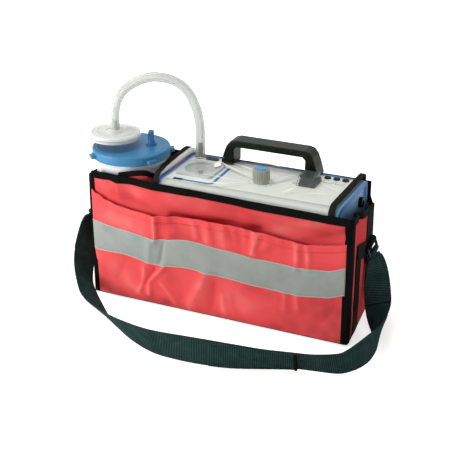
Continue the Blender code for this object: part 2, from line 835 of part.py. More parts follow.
def panel_holes():
    """Cutters for everything that passes through the case top and the panel film."""
    low = GAUGE_FLOOR
    high = PANEL_Z + CASE_WALL
    holes = [
        rod((GAUGE_X, GAUGE_Y), GAUGE_CAN_RADIUS + GAP, low, high, steps=FINE),
        rod((KNOB_X, KNOB_Y), SPINDLE_RADIUS + GAP, low, high, steps=COARSE),
        rod((PORT_X, PORT_Y), PORT_SHANK + GAP, low, high, steps=COARSE),
        prism(oval((EXHAUST_X, EXHAUST_Y), [side + 2 * GAP for side in EXHAUST_SHANK]), "z", low, high),
    ]
    body = [side + 2 * GAP for side in SWITCH_BODY]
    opening = rounded_rectangle((SWITCH_X, SWITCH_Y), body, SWITCH_BODY_CORNER)
    holes.append(prism(opening, "z", low, high))
    holes += [rod((x, LAMP_Y), LAMP_RADIUS + GAP, low, high, steps=COARSE) for x in LAMP_XS]
    return holes


def pump_case():
    wrap = case_outline(0) + case_outline(CASE_WALL)[::-1]
    case = place("case_body", prism(wrap, "x", CASE_LEFT, CASE_RIGHT), "white_abs")
    board_top = BOARD_BOTTOM + BOARD_THICKNESS + GAP
    inside_top = CASE_CEILING + CASE_WALL / 2
    join(case, *[rod(spot, BOSS_RADIUS, board_top, inside_top, steps=COARSE) for spot in BOSSES])
    cut(case, *panel_holes())

    film = block(
        OVERLAY_LEFT, OVERLAY_RIGHT, OVERLAY_FRONT, OVERLAY_BACK, OVERLAY_BOTTOM, OVERLAY_TOP
    )
    cut(place("panel_overlay", film, "panel_film"), *panel_holes())

    left = prism(case_outline(0), "x", LEFT_CAP_X, CASE_LEFT - GAP)
    round_edges(place("left_end_cap", left, "blue_abs"), CAP_EDGE)
    right = prism(case_outline(0), "x", CASE_RIGHT + GAP, RIGHT_CAP_X)
    cap = place("right_end_cap", right, "blue_abs")
    rim = case_outline(CAP_RIM)
    floor = CASE_BOTTOM + CAP_RIM
    rim = [(y, max(z, floor)) for y, z in rim]
    cut(cap, prism(rim, "x", RIGHT_CAP_X - CAP_RECESS, RIGHT_CAP_X + CAP_RECESS))
    hole = SOCKET_SHANK + GAP
    cut(cap, rod((SOCKET_Y, SOCKET_Z), hole, CASE_RIGHT - OVER, RIGHT_CAP_X + OVER, "x"))

    inner = CASE_WALL + GAP
    x0, x1 = CASE_LEFT, CASE_RIGHT
    y0, y1 = CASE_FRONT + inner, CASE_BACK - inner
    base = place("base_plate", block(x0, x1, y0, y1, BASE_PLATE_BOTTOM, BASE_PLATE_TOP), "black_abs")
    for x in (x0 + FOOT_INSET, x1 - FOOT_INSET):
        for y in (y0 + FOOT_INSET, y1 - FOOT_INSET):
            join(base, rod((x, y), FOOT_RADIUS, CASE_BOTTOM, BASE_PLATE_BOTTOM + OVER, steps=COARSE))


def carry_handle():
    height = HANDLE_TOP - PANEL_Z
    side = [(lean, PANEL_Z + height * share) for lean, share in HANDLE_SIDE]
    inner_top = HANDLE_TOP - HANDLE_GRIP
    inner_left = HANDLE_LEFT + HANDLE_FOOT
    inner_right = HANDLE_RIGHT - HANDLE_FOOT
    outline = [(HANDLE_LEFT + lean, z) for lean, z in side]
    outline += [(HANDLE_RIGHT - lean, z) for lean, z in side[::-1]]
    outline += [
        (inner_right, PANEL_Z),
        (inner_right, inner_top - HANDLE_INNER),
        (inner_right - HANDLE_INNER, inner_top),
        (inner_left + HANDLE_INNER, inner_top),
        (inner_left, inner_top - HANDLE_INNER),
        (inner_left, PANEL_Z),
    ]
    handle = place("carry_handle", prism(outline, "y", HANDLE_FRONT, HANDLE_BACK), "black_abs")
    round_edges(handle, HANDLE_EDGE)


# Vacuum gauge


def vacuum_gauge():
    centre = (GAUGE_X, GAUGE_Y)
    plate = rounded_rectangle(centre, (GAUGE_SIDE, GAUGE_SIDE), GAUGE_CORNER)
    case = place("gauge_case", prism(plate, "z", PANEL_Z, GAUGE_TOP), "grey_abs")
    can_top = (PANEL_Z + GAUGE_TOP) / 2
    join(case, rod(centre, GAUGE_CAN_RADIUS, GAUGE_CAN_BOTTOM, can_top, steps=FINE))
    cut(case, rod(centre, GAUGE_BORE, GAUGE_FLOOR, GAUGE_TOP + OVER, steps=FINE))
    disc = GAUGE_BORE - GAP
    dial_bottom = GAUGE_FLOOR + GAP
    dial = rod(centre, disc, dial_bottom, dial_bottom + DIAL_THICKNESS, steps=FINE)
    place("gauge_dial", dial, "panel_film")
    place("gauge_lens", rod(centre, disc, LENS_BOTTOM, LENS_TOP, steps=FINE), "clear_polycarbonate")

    half = POINTER_WIDTH / 2
    needle = [(-POINTER_TAIL, -half), (0, -half), (POINTER_REACH, -half / 4)]
    needle += [(POINTER_REACH, half / 4), (0, half), (-POINTER_TAIL, half)]
    turn = math.radians(POINTER_REST_DEG)
    needle = [
        (
            GAUGE_X + along * math.cos(turn) - across * math.sin(turn),
            GAUGE_Y + along * math.sin(turn) + across * math.cos(turn),
        )
        for along, across in needle
    ]
    blade = prism(needle, "z", POINTER_BOTTOM, POINTER_BOTTOM + POINTER_THICKNESS)
    pointer = place("gauge_pointer", blade, "black_abs", (*centre, POINTER_BOTTOM))
    hub_bottom = dial_bottom + DIAL_THICKNESS + GAP
    join(pointer, rod(centre, POINTER_HUB, hub_bottom, POINTER_HUB_TOP, steps=COARSE))


# Vacuum regulator


def regulator():
    centre = (KNOB_X, KNOB_Y)
    ceiling = CASE_CEILING - GAP
    profile = [
        (0, SPINDLE_TOP),
        (SPINDLE_RADIUS, SPINDLE_TOP),
        (SPINDLE_RADIUS, ceiling),
        (VALVE_RADIUS, ceiling),
        (VALVE_RADIUS, VALVE_BOTTOM),
        (0, VALVE_BOTTOM),
    ]
    place("regulator_valve", turned(profile, centre, steps=COARSE), "aluminium")

    ribs = []
    for i in range(2 * KNOB_RIBS):
        reach = KNOB_RADIUS if i % 2 else KNOB_ROOT
        angle = math.pi * i / KNOB_RIBS
        ribs.append((KNOB_X + reach * math.cos(angle), KNOB_Y + reach * math.sin(angle)))
    knob = place("regulator_knob", prism(ribs, "z", PANEL_Z, KNOB_TOP), "grey_abs", (*centre, PANEL_Z))
    cut(knob, rod(centre, KNOB_BORE, PANEL_Z - OVER, KNOB_BORE_TOP, steps=COARSE))
    pocket_floor = KNOB_TOP - CAP_POCKET
    cut(knob, rod(centre, CAP_RADIUS + GAP, pocket_floor, KNOB_TOP + OVER))
    cap = rod(centre, CAP_RADIUS, pocket_floor + GAP, CAP_TOP)
    place("knob_cap", cap, "lid_blue", (*centre, CAP_TOP), knob)


# Power switch


def power_switch():
    centre = (SWITCH_X, SWITCH_Y)
    flange = rounded_rectangle(centre, SWITCH_FLANGE, SWITCH_FLANGE_CORNER)
    frame = place("switch_frame", prism(flange, "z", PANEL_Z, SWITCH_FLANGE_TOP), "black_abs")
    body = rounded_rectangle(centre, SWITCH_BODY, SWITCH_BODY_CORNER)
    join(frame, prism(body, "z", SWITCH_BODY_BOTTOM, PANEL_Z + OVER))
    cavity = rounded_rectangle(centre, SWITCH_CAVITY, SWITCH_CAVITY_CORNER)
    cut(frame, prism(cavity, "z", SWITCH_CAVITY_FLOOR, SWITCH_FLANGE_TOP + OVER))

    z = ROCKER_PIVOT_Z
    side = [
        (SWITCH_Y - ROCKER_HALF, z - ROCKER_UNDER),
        (SWITCH_Y + ROCKER_HALF, z - ROCKER_UNDER),
        (SWITCH_Y + ROCKER_HALF, z + ROCKER_EDGE),
        (SWITCH_Y, z + ROCKER_DIP),
        (SWITCH_Y - ROCKER_HALF, z + ROCKER_EDGE),
    ]
    half = ROCKER_WIDTH / 2
    rocker = prism(side, "x", SWITCH_X - half, SWITCH_X + half)
    rocker = place("switch_rocker", rocker, "black_abs", (*centre, z))
    rocker.rotation_euler.x = math.radians(ROCKER_TILT_DEG)

    wall = 2 * SPLASH_WALL
    loops = [
        (SPLASH_CROWN, wall, SPLASH_TOP - SPLASH_WALL),
        (SPLASH_FOOT, wall, PANEL_Z),
        (SPLASH_FOOT, 0, PANEL_Z),
        (SPLASH_CROWN, 0, SPLASH_TOP),
    ]
    shell = []
    for size, inset, level in loops:
        rim = rounded_rectangle(centre, [length - inset for length in size], SPLASH_CORNER)
        shell.append([(x, y, level) for x, y in rim])
    place("switch_cover", loft(shell), "clear_pvc")


# Indicator lamps, ports and the charging socket


def lamps():
    for number, x in enumerate(LAMP_XS, 1):
        centre = (x, LAMP_Y)
        ring = [
            (BEZEL_BORE, BEZEL_TOP),
            (BEZEL_RADIUS - BEZEL_EDGE, BEZEL_TOP),
            (BEZEL_RADIUS, PANEL_Z + BEZEL_EDGE),
            (BEZEL_RADIUS, PANEL_Z),
            (BEZEL_BORE, PANEL_Z),
        ]
        place(f"lamp_bezel_{number}", turned(ring, centre, steps=COARSE, hollow=True), "black_abs")
        dome = [(LAMP_RADIUS * share, LAMP_TOP - drop) for share, drop in LAMP_DOME]
        dome += [(LAMP_RADIUS, LAMP_BOTTOM), (0, LAMP_BOTTOM)]
        place(f"lamp_lens_{number}", turned(dome, centre, steps=COARSE), "clear_polycarbonate")


def ports():
    port = [
        (PORT_BORE, PORT_TOP),
        (PORT_COLLAR, PORT_TOP),
        (PORT_COLLAR, PORT_FLANGE_TOP),
        (PORT_FLANGE, PORT_FLANGE_TOP),
        (PORT_FLANGE, PANEL_Z),
        (PORT_SHANK, PANEL_Z),
        (PORT_SHANK, PORT_BOTTOM),
        (PORT_BORE, PORT_BOTTOM),
    ]
    place("vacuum_port", turned(port, (PORT_X, PORT_Y), steps=MEDIUM, hollow=True), "black_abs")

    centre = (EXHAUST_X, EXHAUST_Y)
    flange = prism(oval(centre, EXHAUST_FLANGE), "z", PANEL_Z, EXHAUST_TOP)
    grommet = place("exhaust_grommet", flange, "rubber")
    join(grommet, prism(oval(centre, EXHAUST_SHANK), "z", EXHAUST_BOTTOM, PANEL_Z + OVER))
    cut(grommet, prism(oval(centre, EXHAUST_SLOT), "z", EXHAUST_BOTTOM - OVER, EXHAUST_TOP + OVER))

    face = RIGHT_CAP_X - CAP_RECESS + GAP
    socket = [
        (0, SOCKET_BORE_X),
        (SOCKET_BORE, SOCKET_BORE_X),
        (SOCKET_BORE, SOCKET_FLANGE_X),
        (SOCKET_FLANGE, SOCKET_FLANGE_X),
        (SOCKET_FLANGE, face),
        (SOCKET_SHANK, face),
        (SOCKET_SHANK, SOCKET_INNER_X),
        (0, SOCKET_INNER_X),
    ]
    place("dc_socket", turned(socket, (SOCKET_Y, SOCKET_Z), "x", COARSE), "black_abs")


# Motor and diaphragm pump


def motor_and_pump():
    axis = (SHAFT_Y, SHAFT_Z)
    can = [
        (0, MOTOR_RIGHT),
        (MOTOR_RADIUS, MOTOR_RIGHT),
        (MOTOR_RADIUS, MOTOR_LEFT),
        (MOTOR_BORE, MOTOR_LEFT),
        (MOTOR_BORE, MOTOR_BORE_RIGHT),
        (0, MOTOR_BORE_RIGHT),
    ]
    place("motor_can", turned(can, axis, "x"), "steel")

    shaft = [
        (0, SHAFT_RIGHT),
        (SHAFT_RADIUS, SHAFT_RIGHT),
        (SHAFT_RADIUS, WEB_RIGHT),
        (WEB_RADIUS, WEB_RIGHT),
        (WEB_RADIUS, WEB_LEFT),
        (0, WEB_LEFT),
    ]
    centre = (WEB_LEFT, SHAFT_Y, SHAFT_Z)
    crank = place("motor_shaft", turned(shaft, axis, "x", COARSE), "steel", centre)
    pin_axis = (SHAFT_Y, SHAFT_Z + CRANK_THROW)
    join(crank, rod(pin_axis, PIN_RADIUS, PIN_LEFT, WEB_LEFT + OVER, "x", COARSE))

    eye = [(ROD_BORE, ROD_LEFT), (ROD_EYE, ROD_LEFT), (ROD_EYE, ROD_RIGHT), (ROD_BORE, ROD_RIGHT)]
    con_rod = place(
        "con_rod", turned(eye, pin_axis, "x", COARSE, hollow=True), "aluminium", (ROD_LEFT, *pin_axis), crank
    )
    plate_top = CRANKCASE_TOP
    middle = (ROD_LEFT + ROD_RIGHT) / 2
    neck_bottom = pin_axis[1] + (ROD_BORE + ROD_EYE) / 2
    half = ROD_NECK / 2
    plate_inside = (ROD_PLATE_BOTTOM + plate_top) / 2
    join(con_rod, block(middle - half, middle + half, -half, half, neck_bottom, plate_inside))
    join(con_rod, rod((middle, SHAFT_Y), ROD_PLATE_RADIUS, ROD_PLATE_BOTTOM, plate_top, steps=COARSE))

    x0, x1 = CRANKCASE_LEFT, CRANKCASE_RIGHT
    wall = CRANKCASE_WALL
    side = CRANKCASE_HALF
    shell = place("crankcase", block(x0, x1, -side, side, INNER_FLOOR, CRANKCASE_TOP), "aluminium")
    hollow = side - wall
    cut(shell, block(x0 + wall, x1 - wall, -hollow, hollow, CRANKCASE_SUMP, CRANKCASE_TOP + OVER))
    cut(shell, rod(axis, SHAFT_HOLE, x1 - 2 * wall, x1 + OVER, "x", COARSE))

    skin_bottom = CRANKCASE_TOP + GAP
    skin_top = skin_bottom + DIAPHRAGM
    place("diaphragm", block(x0, x1, -side, side, skin_bottom, skin_top), "rubber")
    head_bottom = skin_top + GAP
    head = place("pump_head", block(x0, x1, -side, side, head_bottom, HEAD_TOP), "aluminium")
    middle = ((x0 + x1) / 2, 0)
    cut(head, rod(middle, CHAMBER_RADIUS, head_bottom - OVER, head_bottom + CHAMBER_DEPTH))
    join(head, rod((BARB_X, BARB_Y), BARB_RADIUS, HEAD_TOP - OVER, BARB_TOP, steps=COARSE))
    piped("internal_hose", smooth_curve(HOSE_ROUTE, HOSE_POINTS), HOSE_RADIUS, "silicone", 2)


# Battery and electronics


def power_supply():
    middle = ((BATTERY_LEFT + BATTERY_RIGHT) / 2, (BATTERY_FRONT + BATTERY_BACK) / 2)
    size = (BATTERY_RIGHT - BATTERY_LEFT, BATTERY_BACK - BATTERY_FRONT)
    outline = rounded_rectangle(middle, size, BATTERY_CORNER, 2)
    place("battery_pack", prism(outline, "z", INNER_FLOOR, BATTERY_TOP), "grey_abs")

    top = BATTERY_TOP + GAP
    front = BATTERY_FRONT - GAP
    back = BATTERY_BACK + GAP
    sheet_top = top + BRACKET_SHEET
    outer_front = front - BRACKET_SHEET
    outer_back = back + BRACKET_SHEET
    foot = INNER_FLOOR + BRACKET_SHEET
    hat = [
        (outer_front - BRACKET_FLANGE, INNER_FLOOR),
        (front, INNER_FLOOR),
        (front, top),
        (back, top),
        (back, INNER_FLOOR),
        (outer_back, INNER_FLOOR),
        (outer_back, sheet_top),
        (outer_front, sheet_top),
        (outer_front, foot),
        (outer_front - BRACKET_FLANGE, foot),
    ]
    half = BRACKET_WIDTH / 2
    place("battery_bracket", prism(hat, "x", BRACKET_X - half, BRACKET_X + half), "steel")

    board_top = BOARD_BOTTOM + BOARD_THICKNESS
    board = block(BOARD_LEFT, BOARD_RIGHT, BOARD_FRONT, BOARD_BACK, BOARD_BOTTOM, board_top)
    place("circuit_board", board, "circuit_green")


# Collection jar, lid, float and filter


def collection_jar():
    centre = (JAR_X, JAR_Y)
    inner = JAR_RADIUS - JAR_WALL
    inner_foot = JAR_FOOT_RADIUS - JAR_WALL
    floor = JAR_BOTTOM + JAR_WALL
    jar = [
        (0, JAR_BOTTOM),
        (JAR_FOOT_RADIUS - JAR_HEEL, JAR_BOTTOM),
        (JAR_FOOT_RADIUS, JAR_BOTTOM + JAR_HEEL),
        (JAR_RADIUS, JAR_TOP),
        (inner, JAR_TOP),
        (inner_foot, floor + JAR_HEEL),
        (inner_foot - JAR_HEEL, floor),
        (0, floor),
    ]
    place("jar", turned(jar, centre, steps=FINE), "clear_polycarbonate")
    seal_bottom = JAR_TOP + GAP
    seal_top = seal_bottom + SEAL_HEIGHT
    seal = [(SEAL_INNER, seal_bottom), (SEAL_OUTER, seal_bottom)]
    seal += [(SEAL_OUTER, seal_top), (SEAL_INNER, seal_top)]
    place("lid_seal", turned(seal, centre, steps=FINE, hollow=True), "rubber")

    lid = [
        (0, LID_TOP),
        *arc((LID_RADIUS - LID_EDGE, LID_TOP - LID_EDGE), LID_EDGE, 90, 0, 2),
        (LID_RADIUS, LID_BOTTOM),
        (LID_INNER, LID_BOTTOM),
        (LID_INNER, LID_CEILING),
        (0, LID_CEILING),
    ]
    lid = place("jar_lid", turned(lid, centre, steps=FINE), "lid_blue")
    for degrees in LUG_ANGLES:
        join(lid, lid_lug(degrees))

    base = LID_TOP + GAP
    spout = [
        (SPOUT_BORE, base + SPOUT_HEIGHT),
        (SPOUT_TIP, base + SPOUT_HEIGHT),
        (SPOUT_FOOT, base + SPOUT_FLANGE_HEIGHT),
        (SPOUT_FLANGE, base + SPOUT_FLANGE_HEIGHT),
        (SPOUT_FLANGE, base),
        (SPOUT_BORE, base),
    ]
    place("patient_port", turned(spout, (SPOUT_X, SPOUT_Y), hollow=True), "spout_blue")


def lid_lug(degrees):
    """A finger lug that stands out from the lid's skirt."""
    angle = math.radians(degrees)
    out = Vector((math.cos(angle), math.sin(angle)))
    across = Vector((-out.y, out.x)) * LUG_WIDTH / 2
    centre = Vector((JAR_X, JAR_Y))
    root = centre + out * (LID_INNER + OVER)
    tip = centre + out * LUG_REACH
    corners = [root - across, tip - across * LUG_TAPER, tip + across * LUG_TAPER, root + across]
    return prism([tuple(corner) for corner in corners], "z", LUG_BOTTOM, LUG_TOP)


def overflow_float():
    centre = (FILTER_X, FILTER_Y)
    top = LID_CEILING - GAP
    inner = CAGE_RADIUS - CAGE_WALL
    hole = CAGE_HOLE
    cage = [
        (CAGE_RADIUS, top),
        (CAGE_RADIUS, CAGE_BOTTOM),
        (hole, CAGE_BOTTOM),
        (hole, CAGE_BOTTOM + CAGE_WALL),
        (inner, CAGE_BOTTOM + CAGE_WALL),
        (inner, top - CAGE_WALL),
        (hole / 2, top - CAGE_WALL),
        (hole / 2, top),
    ]
    cage = place("float_cage", turned(cage, centre, hollow=True), "filter_white")
    low = CAGE_BOTTOM + 3 * CAGE_WALL
    high = top - 3 * CAGE_WALL
    x, y = centre
    reach = CAGE_RADIUS + OVER
    half = CAGE_SLOT / 2
    cut(cage, block(x - reach, x + reach, y - half, y + half, low, high))
    cut(cage, block(x - half, x + half, y - reach, y + reach, low, high))

    bottom = CAGE_BOTTOM + CAGE_WALL + GAP
    crown = bottom + FLOAT_HEIGHT
    bob = [
        (0, crown),
        (FLOAT_RADIUS * FLOAT_SHOULDER[0], crown - FLOAT_DOME * FLOAT_SHOULDER[1]),
        (FLOAT_RADIUS, crown - FLOAT_DOME),
        (FLOAT_RADIUS, bottom),
        (0, bottom),
    ]
    place("overflow_float", turned(bob, centre, steps=COARSE), "filter_white", (*centre, bottom))


def bacteria_filter():
    centre = (FILTER_X, FILTER_Y)
    base = LID_TOP + GAP
    lower = [
        (0, FILTER_SPLIT),
        (FILTER_RADIUS, FILTER_SPLIT),
        *FILTER_LOWER_PROFILE,
        (FILTER_STUB, base),
        (0, base),
    ]
    place("filter_lower", turned(lower, centre, steps=FINE), "filter_white")
    skin_bottom = FILTER_SPLIT + GAP
    skin_top = skin_bottom + MEMBRANE
    place("filter_membrane", rod(centre, MEMBRANE_RADIUS, skin_bottom, skin_top, steps=FINE), "filter_white")
    upper_bottom = skin_top + GAP
    upper = [
        (0, FILTER_STUB_TOP),
        *FILTER_UPPER_PROFILE,
        (FILTER_RADIUS, upper_bottom),
        (0, upper_bottom),
    ]
    place("filter_upper", turned(upper, centre, steps=FINE), "filter_white")


def suction_tube():
    foot = Vector((FILTER_X, FILTER_Y))
    span = Vector((PORT_X, PORT_Y)) - foot
    route = [(*(foot + span * share), height) for share, height in TUBE_ROUTE]
    piped("suction_tube", smooth_curve(route, TUBE_POINTS), TUBE_RADIUS, "silicone", 3)


# Shoulder strap with its tabs and rings


def shoulder_strap():
    """Flat webbing that turns along its route, with both faces split along the same diagonals."""
    joined = [Vector((*middle, *across)) for middle, across in STRAP_ROUTE]
    samples = smooth_curve(joined, STRAP_SAMPLES)
    middles = [Vector(sample[:3]) for sample in samples]
    bm = bmesh.new()
    faces = ([], [])
    for i, sample in enumerate(samples):
        ahead = middles[min(i + 1, len(middles) - 1)] - middles[max(i - 1, 0)]
        ahead.normalize()
        across = Vector(sample[3:])
        across = (across - ahead * across.dot(ahead)).normalized()
        out = ahead.cross(across) * STRAP_THICKNESS / 2
        for side, rows in zip((-1, 1), faces):
            shares = [column / STRAP_COLUMNS - 0.5 for column in range(STRAP_COLUMNS + 1)]
            row = [middles[i] + across * STRAP_WIDTH * share + out * side for share in shares]
            rows.append([bm.verts.new(point) for point in row])
    inner, outer = faces
    for rows in faces:
        for near, far in zip(rows, rows[1:]):
            for j in range(STRAP_COLUMNS):
                bm.faces.new((near[j], near[j + 1], far[j + 1]))
                bm.faces.new((near[j], far[j + 1], far[j]))
    for edge in (0, STRAP_COLUMNS):
        for i in range(STRAP_SAMPLES - 1):
            bm.faces.new((inner[i][edge], inner[i + 1][edge], outer[i + 1][edge], outer[i][edge]))
    for end in (0, STRAP_SAMPLES - 1):
        for j in range(STRAP_COLUMNS):
            bm.faces.new((inner[end][j], inner[end][j + 1], outer[end][j + 1], outer[end][j]))
    place("shoulder_strap", bm, "black_webbing")


def strap_mount(side, x, y, turn, outward, drop_degrees):
    """A webbing tab sewn to an end panel, and the ring that hangs from its loop."""
    holder = bpy.data.objects.new(f"{side}_strap_mount", None)
    bpy.context.scene.collection.objects.link(holder)
    holder.location = Vector((x, y, 0)) * MM
    holder.rotation_euler.z = turn

    near = outward * GAP
    far = outward * (GAP + TAB_WEB)
    half = TAB_WIDTH / 2
    strip = block(min(near, far), max(near, far), -half, half, TAB_BOTTOM, LOOP_Z)
    tab = place(f"strap_tab_{side}", strip, "black_webbing")
    loop_x = outward * (GAP + LOOP_OUTER)
    rim = helper(rod((loop_x, LOOP_Z), LOOP_OUTER, -half, half, "y", COARSE))
    eye = helper(rod((loop_x, LOOP_Z), LOOP_INNER, -half - OVER, half + OVER, "y", COARSE))
    for roll, operation in ((rim, "UNION"), (eye, "DIFFERENCE")):
        roll.parent = holder
        combine(tab, roll, operation)
    tab.parent = holder

    drop = math.radians(drop_degrees)
    reach = RING_REACH
    points = []
    for along, out in rounded_rectangle((0, reach / 2), (2 * RING_HALF, reach), RING_CORNER):
        points.append((loop_x + outward * out * math.cos(drop), along, LOOP_Z - out * math.sin(drop)))
    ring = piped(f"strap_ring_{side}", points, RING_WIRE, "steel", 2, closed=True)
    ring.parent = holder


def strap_mounts():
    slant = math.atan2(FRONT_RIGHT_X - BACK_RIGHT_X, BAG_BACK - BAG_FRONT)
    left_share = (LEFT_TAB_Y - END_FRONT) / (END_BACK - END_FRONT)
    strap_mount("left", left_x(left_share) - GAP, LEFT_TAB_Y, 0.0, -1, LEFT_RING_DROP_DEG)
    strap_mount("right", right_x(RIGHT_TAB_Y), RIGHT_TAB_Y, slant, 1, RIGHT_RING_DROP_DEG)


def main():
    clear_scene()
    bag_panels()
    front_pocket()
    clear_cover()
    pump_case()
    carry_handle()
    vacuum_gauge()
    regulator()
    power_switch()
    lamps()
    ports()
    motor_and_pump()
    power_supply()
    collection_jar()
    overflow_float()
    bacteria_filter()
    suction_tube()
    shoulder_strap()
    strap_mounts()


main()
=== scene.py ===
"""Looks of a portable suction pump in its carrying bag.

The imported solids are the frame. Hard pieces keep their solids and get finishes, and the bag, its clear
cover, the strap and the tube are modelled here as cloth, film, webbing and hose. Lengths are in
millimetres, and MM turns them into metres where a mesh is made.
"""

import math

import bmesh
import bpy
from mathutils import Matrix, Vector, noise


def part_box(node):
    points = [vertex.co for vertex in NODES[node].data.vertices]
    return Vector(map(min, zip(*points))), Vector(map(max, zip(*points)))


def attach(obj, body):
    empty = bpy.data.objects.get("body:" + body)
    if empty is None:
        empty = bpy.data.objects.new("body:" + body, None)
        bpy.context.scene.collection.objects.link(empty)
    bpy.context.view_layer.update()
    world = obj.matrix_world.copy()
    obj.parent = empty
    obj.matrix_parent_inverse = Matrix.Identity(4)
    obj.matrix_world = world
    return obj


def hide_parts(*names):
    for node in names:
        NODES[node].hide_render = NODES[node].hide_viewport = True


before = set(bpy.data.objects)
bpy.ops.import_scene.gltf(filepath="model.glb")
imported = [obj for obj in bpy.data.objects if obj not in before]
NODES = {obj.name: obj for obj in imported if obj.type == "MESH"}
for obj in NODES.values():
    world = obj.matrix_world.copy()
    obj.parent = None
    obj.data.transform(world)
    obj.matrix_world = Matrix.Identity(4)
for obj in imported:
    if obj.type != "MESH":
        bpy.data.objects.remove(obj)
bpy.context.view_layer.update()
MM = 0.001
UP = Vector((0, 0, 1))

# Camera, at the photograph's viewing angle, in metres and degrees
CAMERA_PLACE = (0.5892, -1.3024, 0.7526)
CAMERA_TILT_DEG = 66.0
CAMERA_TURN_DEG = 24.5
CAMERA_LENS = 86.02

# Bag
FABRIC = 2.0
BAG_FLOOR = 3.0
BAG_FRONT = -64.5
BAG_BACK = 74.5
FRONT_LEFT_X = -192.0
FRONT_RIGHT_X = 208.0
BACK_LEFT_X = -199.0
BACK_RIGHT_X = 195.0
LEFT_BULGE = 12.3
FRONT_LEAN = 2.0
FRONT_TOP_LEFT = 195.0
FRONT_TOP_RIGHT = 188.0
FRONT_BELLY = 2.6  # how far the front swells out at the middle of its top
BACK_TOP = 190.0
BACK_STEP = 8.0  # above the right end the back is narrower by this much
BACK_STEP_RISE = (156, 164)  # heights between which it narrows
BACK_STEP_REACH = (165, 195)  # places across the back between which it is drawn in
END_TOP_FRONT = 189.0
END_TOP_BACK = 158.0
END_FRONT = -62.2
END_BACK = 72.2
GUSSET_Y = -22.0  # where the right end is creased inwards towards its top
GUSSET_WIDTH = 8.0
GUSSET_DEPTH = 7.0
GUSSET_RISE = (120, 175)  # heights between which it deepens
CORNER = 6.0  # how far a corner's rounding starts from its point
CORNER_STEPS = 4
FRONT_REACH = BAG_FRONT + 1  # stations up to here are on the front
SHELL_FOOT = BAG_FLOOR + 0.3
SHELL_STEP = 4.0
SHELL_ROWS = 44
BASE_RIM = ((2.5, 0.0), (0.8, 0.6), (0.0, 1.6), (0.6, BAG_FLOOR))  # as (inset, height)

# Slow unevenness of each cloth, as (size, height), and the planes of noise that keep the upright ones apart
FRONT_RUMPLE, FRONT_PLANE = (40, 0.7), 0
POCKET_RUMPLE, POCKET_PLANE = (35, 0.7), 30
BACK_RUMPLE, BACK_PLANE = (60, 1.0), 90
FRONT_TONE_RUMPLE, FRONT_TONE_PLANE = (18, 0.6), 80
POCKET_TONE_RUMPLE, POCKET_TONE_PLANE = (15, 0.7), 60
END_RUMPLE = (30, 0.8)
DIVIDER_RUMPLE = (40, 1.0)
COVER_RUMPLE = (30, 0.4)
TONE_LEVEL = 0.85

# Folds in the cloth: places across and up the face, then width and height of the ridge
FOLD_CREST = 1.5  # a power of 2 would be a round ridge, and less is a sharper one
FRONT_FOLDS_RISE = (150, 170)  # heights between which the front's folds come in above the pocket
FRONT_FOLDS = (
    (((-158, 182), (-150, 168)), 7, -3.6),
    (((-143, 184), (-140, 160)), 7, 4.2),
    (((-122, 180), (-118, 160)), 9, -3.1),
    (((-84, 180), (-60, 160)), 14, 3.6),
    (((-20, 172), (40, 164)), 11, -3.9),
    (((60, 176), (150, 172)), 11, 3.4),
    (((120, 160), (196, 162)), 7, -3.4),
    (((168, 184), (200, 172)), 8, 3.1),
)
POCKET_FOLDS = (
    (((-81, 148), (-82, 107)), 4.6, 3.4),
    (((-72, 148), (-74, 112)), 7, -2.4),
    (((-90, 107), (-94, 72)), 6, 2.2),
    (((-67, 112), (-75, 73)), 3.5, -2.2),
    (((-70, 69), (-82, 55), (-95, 40), (-97, 17)), 5, 3.4),
    (((-102, 62), (-104, 36), (-114, 16)), 5.5, 3.2),
    (((-84, 62), (-100, 38), (-106, 20)), 4, -2.4),
    (((-74, 39), (-64, 28), (-55, 11)), 5, 2.8),
    (((-2, 70), (-16, 39), (-32, 8)), 10, 4.4),
    (((12, 62), (6, 14)), 8, -2),
    (((23, 38), (24, 13)), 6, 2.6),
    (((40, 12), (34, 46)), 5.8, 1.9),
    (((72, 152), (71, 119)), 4.5, 1.8),
    (((81, 152), (68, 118)), 5, 2),
    (((133, 143), (133, 106)), 5, 2.6),
    (((148, 146), (150, 111)), 4.5, 2.2),
    (((134, 65), (136, 45)), 5.8, 2.6),
    (((117, 64), (117, 41)), 5.8, 2),
    (((100, 140), (76, 122)), 6.9, 1.9),
    (((-150, 20), (-172, 62)), 10, 2.6),
    (((-140, 140), (-168, 118)), 10, 1.9),
    (((60, 30), (110, 44)), 14, 2.6),
    (((176, 20), (196, 60)), 11.5, -2.3),
    (((-132, 66), (-146, 34)), 8, -1.9),
    (((84, 58), (150, 20)), 16, -1.9),
)
# Painted light and shade on the front above the pocket, along lines, as for the pocket below: a painted
# shadow inside the pocket's mouth, and painted highlights and shade on the folds
FRONT_PAINTED_LIGHT = (
    (((-58, 151), (-10, 154), (36, 155), (78, 155)), 4.5, -1.2),
    (((140, 150), (178, 164), (203, 177)), 7, -0.5),
    (((100, 157), (160, 178)), 9, 0.35),
    (((-149, 170), (-120, 162), (-95, 158)), 6, -0.35),
    (((-176, 186), (-160, 174)), 8, 0.3),
    (((-130, 182), (-112, 172)), 8, 0.3),
    (((-60, 180), (-10, 172)), 12, 0.2),
    (((20, 178), (72, 170)), 10, -0.2),
)
